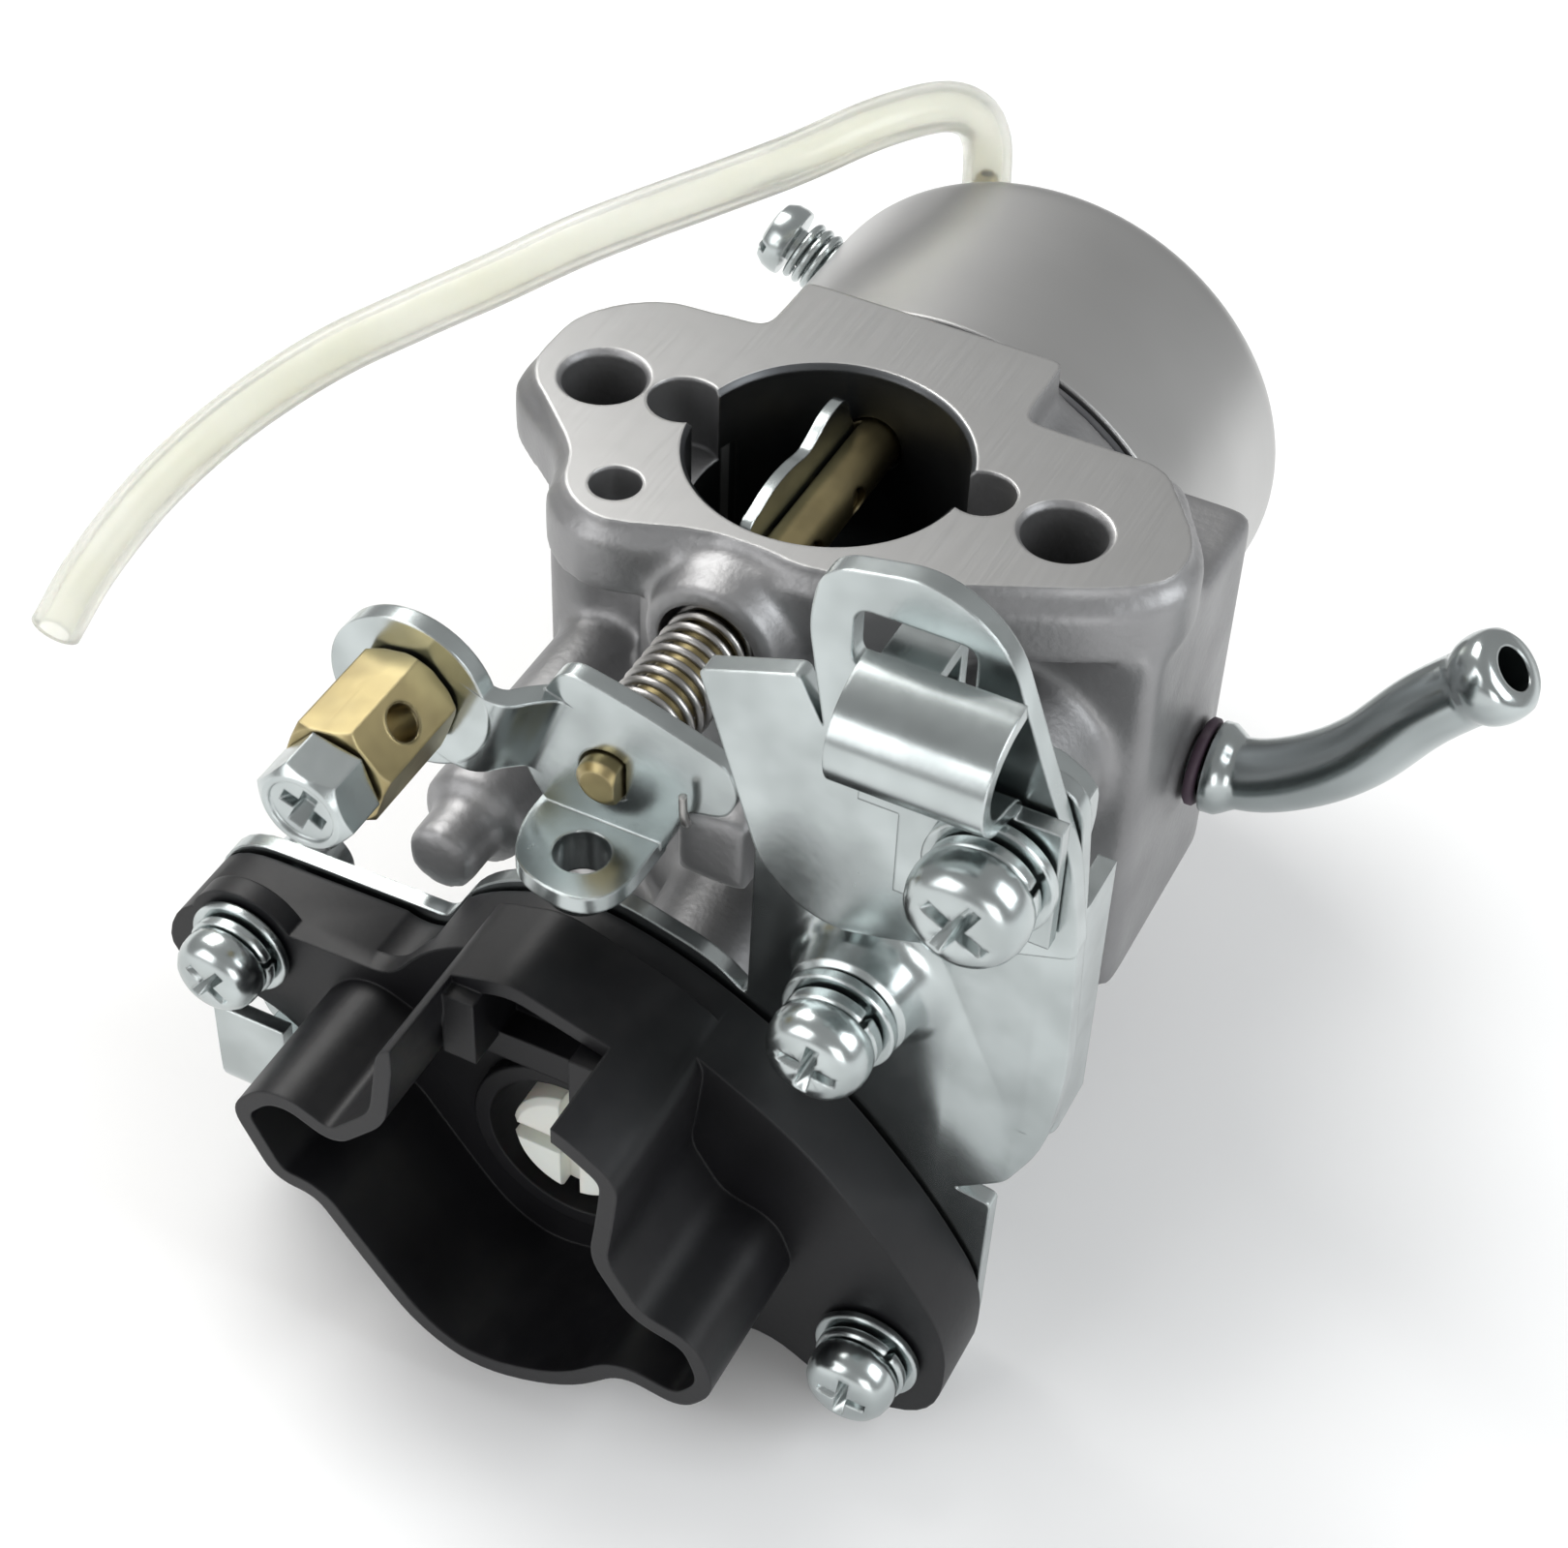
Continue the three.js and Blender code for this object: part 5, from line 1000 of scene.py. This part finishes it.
def build_motor_cup(settings):
    floor = HOLDER_Y - HOLDER_T
    plate = slab("Y", [
        (-41, 13, 5), (-38.2, 21.6, 5), (-17.6, 22.2, 2), (-13.4, 28, 4), (-4, 32.4, 6),
        (6, 30.2, 6), (15, 25.4, 5), (21, 21.2, 4), (28.4, 13.2, 4), (33.9, 5, 4), (33.6, -5.4, 6),
        (25, -7.8, 5), (17, -3, 4), (8, -8, 8), (-6, -9.6, 8), (-17, -3, 8), (-24, 7, 6),
        (-29.6, 12.4, 4)], floor, HOLDER_Y)
    rim = rounded(CUP_RIM)
    inside = offset(rim, -1.5)
    cup = prism("Y", rim, RIM_Y, HOLDER_Y - 3)
    hollow = prism("Y", inside, RIM_Y - 1, floor)
    mouth = block((-8.4, 5.6), (RIM_Y - 1, RIM_Y + 9), (25, 36))
    bosses = [rod("Y", *at, floor, floor + 2, 5.4) for at in (SCREW_LEFT, SCREW_RIGHT)]
    cup = join(plate, cup, *bosses)
    cup = cut(cup, hollow, mouth, rod("Y", 0, THROTTLE_Z, RIM_Y, HOLDER_Y + 1, 7.6),
              rod("Y", POST_L[0], POST_L[1] - 1, HOLDER_Y - 5, HOLDER_Y, 4.2),
              *[rod("Y", *at, floor - 1, HOLDER_Y + 1, 2.4) for at in (SCREW_LEFT, SCREW_RIGHT)])
    ledges = [
        block((-8.6, -5.6), (RIM_Y + 7.5, floor + 0.5), (24.2, 31.0)),
        block((2.8, 6.0), (RIM_Y + 7.5, floor + 0.5), (23.4, 29.2)),
        block((-9.6, 9.0), (RIM_Y + 11, floor + 0.5), (21.6, 24.6)),
        ring("Y", 0, THROTTLE_Z, floor - 1.6, floor + 0.4, 9.2, 7.6, 0.2),
    ]
    cup = join(cup, *ledges)
    finish(cup, "motor_cup", "housing", "black", ["motor_holder"], ease=0.25)


def offset(points, distance):
    """Moves a closed outline inwards (negative) or outwards along its corners' normals."""
    count = len(points)
    area = sum(a.x * b.y - b.x * a.y for a, b in zip(points, points[1:] + points[:1]))
    turn = 1 if area > 0 else -1
    moved = []
    for i, p in enumerate(points):
        run = (points[(i + 1) % count] - points[i - 1]).normalized()
        moved.append(p + Vector((run.y, -run.x)) * (distance * turn))
    return moved


# ---------------------------------------------------------------- cable bracket and saddle
def build_bracket(settings):
    plate = slab("Y", [
        (7.6, 62.8, 0.6), (15.5, 65.7, 0.6), (17.6, 61.4, 0.6), (16.0, 71.0, 2), (16.8, 76.2, 2.4),
        (25.4, 78.0, 3), (30.8, 74.6, 3), (37.2, 56.8, 2), (38.4, 48.2, 1), (30, 45.2, 2),
        (23.9, 43.0, 2), (18.4, 41.6, 3), (13.2, 45.0, 3)], BRACKET_FRONT, BRACKET_BACK)
    window = slab("Y", [(19.4, 68.2, 1.4), (19.4, 73.6, 1.4), (28.6, 73.6, 1.4), (28.6, 68.2, 1.4)],
                  BRACKET_FRONT - 1, BRACKET_BACK + 1)
    plate = cut(plate, window,
                rod("Y", *SCREW_CLAMP, BRACKET_FRONT - 1, BRACKET_BACK + 1, 2.8, sides=48))
    finish(plate, "cable_stay", "housing", "zinc", ["cable_bracket"], ease=0.25)


def build_saddle(settings):
    back = BRACKET_FRONT - 0.3
    mid = back - SADDLE_T / 2
    line = [(mid, 50), (mid, 56), (mid, 60.6), (mid - 0.5, 62.2), (mid - 2.2, 63.0), (mid - 4.4, 63.7),
            (mid - 6.0, 65.3), (mid - 6.4, 67.5), (mid - 5.3, 69.6), (mid - 3.0, 70.9),
            (mid - 0.6, 71.3)]
    path, _ = smooth_path([(u, v, 0) for u, v in line], 0.35)
    points = [(p.x, p.y) for p in path]
    low = [p for p in points if p[1] < 61.6]
    high = [p for p in points if p[1] > 57.5]
    roll = prism("X", thicken(high, SADDLE_T), 21.2, 33)
    flat = prism("X", thicken(low, SADDLE_T), 24.4, 36.6)
    hook = prism("X", thicken([(mid - 0.9, 71.25), (-37.0, 71.3), (BRACKET_BACK + 1.2, 71.3)],
                              SADDLE_T), 22.2, 26.6)
    claw = block((22.2, 26.6), (BRACKET_BACK + 0.3, BRACKET_BACK + 1.5), (66, 71.9))
    saddle = join(roll, flat, hook, claw)
    saddle = cut(saddle, rod("Y", *SCREW_CLAMP, back - 3, back + 1, 2.8, sides=48))
    finish(saddle, "cable_saddle_strap", "housing", "zinc", ["cable_saddle"], ease=0.22)


# ---------------------------------------------------------------- screws and washers
def screw_master(head_r, head_h, shank_r, shank_len, recess):
    """A pan-head cross-recess screw whose head's underside lies at the origin, head to -Y."""
    r, h = head_r, head_h
    profile = [(0, -h), (r * 0.5, -h * 0.985), (r * 0.7, -h * 0.93), (r * 0.84, -h * 0.82),
               (r * 0.94, -h * 0.64), (r * 0.99, -h * 0.42), (r, -h * 0.2), (r * 0.98, 0),
               (shank_r, 0)]
    t = 0.8
    while t < shank_len - 0.8:
        profile += [(shank_r, t), (shank_r * 0.86, t + 0.35)]
        t += 0.7
    profile += [(shank_r, shank_len - 0.6), (shank_r * 0.7, shank_len), (0, shank_len)]
    screw = cut(lathe("Y", 0, 0, profile, 64), cross_tool(r * recess, h * 0.72, -h, 0.2))
    return ease_edges(screw, 0.08, 40)


def washer_master(outer, hole, thick):
    """A plain washer whose lower face lies at the origin, body to -Y."""
    return ring("Y", 0, 0, -thick, 0, outer, hole, 0.12)


def split_master(outer, hole, thick):
    """A split spring washer, a little open at its cut."""
    piece = ring("Y", 0, 0, -thick, 0, outer, hole, 0.2)
    gap = turned_copy(block((-0.35, 0.35), (-thick - 1, 1), (0, outer + 1)),
                      Matrix.Rotation(math.radians(35), 4, "Y"))
    return cut(piece, gap)


def build_fasteners(settings):
    saddle_front = BRACKET_FRONT - 0.3 - SADDLE_T
    holder_front = HOLDER_Y - HOLDER_T
    tree = bpy.data.node_groups["placed_fasteners"]
    families = [
        ("clamp_screw", [(SCREW_CLAMP, saddle_front, 30)], 4.7, 3.7, 2.45, 13.0, 5.1, 1.0, 1.3),
        ("plate_screw", [(SCREW_M, PLATE_Y - 4.2, 10)], 4.2, 3.4, 2.1, 19.0, 4.7, 1.0, 1.3),
        ("holder_screw", [(SCREW_LEFT, holder_front, 40), (SCREW_RIGHT, holder_front, 5)],
         3.8, 3.1, 1.9, 13.5, 4.6, 0.8, 1.0),
    ]
    for name, seats, head_r, head_h, shank_r, length, washer_r, washer_h, split_h in families:
        nodes = [name] if len(seats) == 1 else [name + "_left", name + "_right"]
        masters = (
            ("screws", screw_master(head_r, head_h, shank_r, length, 0.62), "", 0.9
             + washer_h + split_h),
            ("washers", washer_master(washer_r, shank_r + 0.3, washer_h), "_washer", 0.3),
            ("split_washers", split_master(washer_r * 0.86, shank_r + 0.3, split_h),
             "_spring_washer", 0.6 + washer_h),
        )
        for label, master, ending, lift in masters:
            points = [{"at": (x, seat - lift, z), "turn": math.radians(turn), "size": 1.0}
                      for (x, z), seat, turn in seats]
            made = run_tree(name + "_" + label, tree, points, {"Fastener": master,
                                                               "Finish": FINISH["zinc"]})
            bpy.data.objects.remove(master)
            finish(made, name + "_" + label, "housing", "zinc", [n + ending for n in nodes],
                   ease=0, sharp=40)
    nut_y = PLATE_Y + PLATE_T
    nut = rod("Y", *SCREW_CLAMP, nut_y + 0.3, nut_y + 4, 4.6, sides=6)
    crown = lathe("Y", *SCREW_CLAMP, [(0, nut_y + 0.3), (4.2, nut_y + 0.3), (4.7, nut_y + 0.8),
                                      (4.7, nut_y + 3.4), (4.1, nut_y + 4), (0, nut_y + 4)])
    nut = cut(combine(nut, "INTERSECT", [crown]),
              rod("Y", *SCREW_CLAMP, nut_y, nut_y + 5, 2.75, sides=48))
    finish(nut, "clamp_nut", "housing", "zinc", ["clamp_screw_nut"], ease=0.12)


# ---------------------------------------------------------------- inner pieces
def build_inner(settings):
    x, z = BOWL_X, BOWL_Z
    end = BLOCK_X[0] - 3.2
    plug = cut(lathe("X", *PLUG, [(0, end), (1.5, end), (1.75, end + 0.3), (1.75, end + 6.7),
                                  (0, end + 6.7)], 40),
               rod("X", *PLUG, end - 1, end + 0.8, 0.8, sides=6))
    nozzle = cut(ring("Y", x, z, 6.3, 32, 2.3, 1.0, 0.3, 48),
                 *[rod("X", y, z, x - 3, x + 3, 0.4, sides=16) for y in (12, 15, 18)])
    jet = cut(ring("Y", x, z, 32.4, 36.4, 2.5, 0.6, 0.2, 48),
              block((x - 3, x + 3), (35.4, 37), (z - 0.4, z + 0.4)))
    seat = ring("Y", NEEDLE_X, PIPE_Z, 12.2, 14.4, 2.25, 1.0, 0.2, 48)
    needle = lathe("Y", NEEDLE_X, PIPE_Z, [(0, 14.8), (0.4, 14.8), (1.8, 16.6), (1.8, 22.2),
                                           (1.2, 22.6), (1.2, 23.1), (0, 23.1)], 40)
    pin = lathe("Z", *FLOAT_PIN, [(0, 17.6), (0.6, 17.6), (0.8, 17.8), (0.8, 35.4), (0.6, 35.6),
                                  (0, 35.6)], 32)
    for piece, name, body, key, replaced in (
            (plug, "passage_pin", "housing", "brass", "passage_plug"),
            (nozzle, "emulsion_tube", "housing", "brass", "main_nozzle"),
            (jet, "fuel_jet", "housing", "brass", "main_jet"),
            (seat, "valve_seat", "housing", "brass", "inlet_valve_seat"),
            (needle, "float_needle", "needle", "rubber", "inlet_needle"),
            (pin, "float_hinge_pin", "housing", "steel", "float_pin")):
        finish(piece, name, body, key, [replaced], ease=0, sharp=40)
    float_ring = cut(rod("Y", x, z, 27.5, 38.5, 19, sides=96), rod("Y", x, z, 26, 40, 7.8))
    arm = join(block((12, FLOAT_PIN[0]), (23.5, 24.9), (22.6, 30.6)),
               block((11, 13), (23.5, 28.5), (22.6, 30.6)),
               rod("Z", *FLOAT_PIN, 21.2, 32.0, 2, sides=40))
    body = cut(join(float_ring, arm), rod("Z", *FLOAT_PIN, 20, 33, 1.1, sides=32))
    finish(body, "float_ring", "float_body", "acetal", ["float"], ease=0.3)


# ---------------------------------------------------------------- stage
def build_stage(settings):
    low = CAD_BOX[0][2]
    bm = bmesh.new()
    bmesh.ops.create_grid(bm, x_segments=2, y_segments=2, size=4.0)
    floor = new_object("floor", bm)
    floor.data.transform(Matrix.Translation((0, 0, low - 0.0004)))
    paper = bpy.data.materials.new("white_paper")
    paper.use_nodes = True
    shader = paper.node_tree.nodes["Principled BSDF"]
    shader.inputs["Base Color"].default_value = (0.93, 0.93, 0.93, 1)
    shader.inputs["Roughness"].default_value = 0.9
    shader.inputs["Specular IOR Level"].default_value = 0.1
    floor.data.materials.append(paper)
    floor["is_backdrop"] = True
    lights = [
        ("key", (-0.34, 0.16, 0.50), 0.34, 2.6, (1.0, 0.99, 0.97)),
        ("fill", (0.52, 0.05, 0.36), 0.34, 1.9, (0.95, 0.98, 1.0)),
        ("front", (-0.30, -0.50, 0.30), 0.40, 1.5, (1.0, 1.0, 1.0)),
        ("low", (0.35, -0.50, 0.12), 0.25, 0.7, (1.0, 1.0, 1.0)),
    ]
    for name, place, size, power, color in lights:
        lamp = bpy.data.lights.new(name, "AREA")
        lamp.shape = "SQUARE"
        lamp.size = size
        lamp.energy = power
        lamp.color = color
        obj = bpy.data.objects.new(name, lamp)
        obj.location = place
        obj.rotation_euler = (Vector((0, -0.01, 0.03)) - Vector(place)).to_track_quat(
            "-Z", "Y").to_euler()
        bpy.context.scene.collection.objects.link(obj)
    world = bpy.data.worlds.new("soft_room")
    world.use_nodes = True
    world.node_tree.nodes["Background"].inputs[0].default_value = (1, 1, 1, 1)
    world.node_tree.nodes["Background"].inputs[1].default_value = settings.room_light
    bpy.context.scene.world = world
    lens = bpy.data.cameras.new("camera")
    lens.sensor_width = 36.0
    lens.lens = 69.98
    lens.shift_x = -0.0021
    lens.shift_y = -0.0037
    lens.clip_start = 0.005
    camera = bpy.data.objects.new("camera", lens)
    camera.matrix_world = Matrix.Translation((0.08159, -0.17956, 0.20805)) @ Matrix((
        (0.89188, -0.33378, 0.30519, 0), (0.45116, 0.60930, -0.65208, 0),
        (0.03170, 0.71927, 0.69401, 0), (0, 0, 0, 1)))
    bpy.context.scene.collection.objects.link(camera)
    bpy.context.scene.camera = camera
    bpy.context.scene.view_settings.view_transform = "Standard"


# ---------------------------------------------------------------- settings, operators and panel
class CarburetorTones(bpy.types.PropertyGroup):
    """Colours of the finishes."""
    cast_color: FloatVectorProperty(name="Casting", description="Die-cast aluminium", size=3,
                                    subtype="COLOR", default=(0.31, 0.31, 0.315))
    zinc_color: FloatVectorProperty(name="Zinc", description="Clear zinc plate", size=3,
                                    subtype="COLOR", default=(0.52, 0.565, 0.565))
    brass_color: FloatVectorProperty(name="Brass", description="Dull brass", size=3, subtype="COLOR",
                                     default=(0.40, 0.33, 0.17))
    plastic_color: FloatVectorProperty(name="Motor cup", description="Moulded plastic", size=3,
                                       subtype="COLOR", default=(0.004, 0.004, 0.005))
    hose_color: FloatVectorProperty(name="Hose", description="Clear vinyl", size=3, subtype="COLOR",
                                    default=(0.97, 0.97, 0.91))


class CarburetorDetail(bpy.types.PropertyGroup):
    """Sizes and amounts that change how fine the model is."""
    cast_voxel: FloatProperty(name="Casting grain", description="Voxel size of the casting, in mm",
                              default=0.6, min=0.3, max=2.0)
    spring_turns: IntProperty(name="Spring turns", description="Turns of the choke's return spring",
                              default=11, min=4, max=20)
    room_light: FloatProperty(name="Room light", description="Strength of the light all round",
                              default=0.42, min=0.0, max=3.0)


def operator(key, label, note, build):
    """Makes the operator class that builds one piece or group of like pieces."""
    def execute(self, context):
        build(context.scene.carburetor_detail)
        return {"FINISHED"}

    return type("CARB_OT_" + key, (bpy.types.Operator,), {
        "__doc__": note, "bl_idname": "carb." + key, "bl_label": label, "execute": execute})


def build_finishes(settings):
    make_finishes(bpy.context.scene.carburetor_tones)
    coil_tree()
    fastener_tree()


STEPS = [
    ("stage", "Stage", "Floor, lights, room and camera", build_stage),
    ("finishes", "Finishes", "Shader groups, finishes and node trees", build_finishes),
    ("body", "Body", "The die-cast body", build_body),
    ("bowl", "Bowl", "The spun float bowl", build_bowl),
    ("bowl_fittings", "Bowl fittings", "Gasket, washer and bolt of the bowl", build_bowl_fittings),
    ("inlet", "Fuel inlet", "Fuel pipe and its seal", build_inlet),
    ("drain", "Drain", "Drain screw, spring, nipple and hose", build_drain),
    ("choke_shaft", "Choke shaft", "The brass choke shaft", build_choke_shaft),
    ("choke_plate", "Choke plate", "The choke plate and its screws", build_choke_plate),
    ("choke_lever", "Choke lever", "The bent choke lever", build_choke_lever),
    ("cable_end", "Cable end", "Brass cable end and its screw", build_cable_end),
    ("choke_spring", "Choke spring", "Return spring with its hooked tail", build_choke_spring),
    ("throttle", "Throttle", "Throttle shaft, plate, screw, seal and coupling", build_throttle),
    ("base_plate", "Base plate", "The zinc plate behind the motor cup", build_base_plate),
    ("motor_cup", "Motor cup", "The black motor cup", build_motor_cup),
    ("bracket", "Cable bracket", "The bracket that holds the cable", build_bracket),
    ("saddle", "Cable saddle", "The rolled strap over the cable", build_saddle),
    ("fasteners", "Fasteners", "Screws, washers and nut", build_fasteners),
    ("inner", "Inner pieces", "Float, needle, nozzle, jet and plug", build_inner),
]
OPERATORS = [operator(*step) for step in STEPS]


class CARB_PT_panel(bpy.types.Panel):
    """Lists the carburetor's pieces in the sidebar."""
    bl_label = "Carburetor"
    bl_space_type = "VIEW_3D"
    bl_region_type = "UI"
    bl_category = "Carburetor"

    def draw(self, context):
        for settings in (context.scene.carburetor_tones, context.scene.carburetor_detail):
            for key in settings.bl_rna.properties.keys():
                if key not in {"rna_type", "name"}:
                    self.layout.prop(settings, key)
        for key, label, _, _ in STEPS:
            self.layout.operator("carb." + key, text=label)


CLASSES = [CarburetorTones, CarburetorDetail, *OPERATORS, CARB_PT_panel]


def register():
    for cls in CLASSES:
        bpy.utils.register_class(cls)
    bpy.types.Scene.carburetor_tones = PointerProperty(type=CarburetorTones)
    bpy.types.Scene.carburetor_detail = PointerProperty(type=CarburetorDetail)


def unregister():
    del bpy.types.Scene.carburetor_detail
    del bpy.types.Scene.carburetor_tones
    for cls in reversed(CLASSES):
        bpy.utils.unregister_class(cls)


def plain(box):
    return [list(corner) if hasattr(corner, "__len__") else corner for corner in box]


def main():
    register()
    for key, _, _, _ in STEPS:
        getattr(bpy.ops.carb, key)()
    {"cad": plain(CAD_BOX), "visual": plain(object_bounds())}


if __name__ == "__main__":
    main()
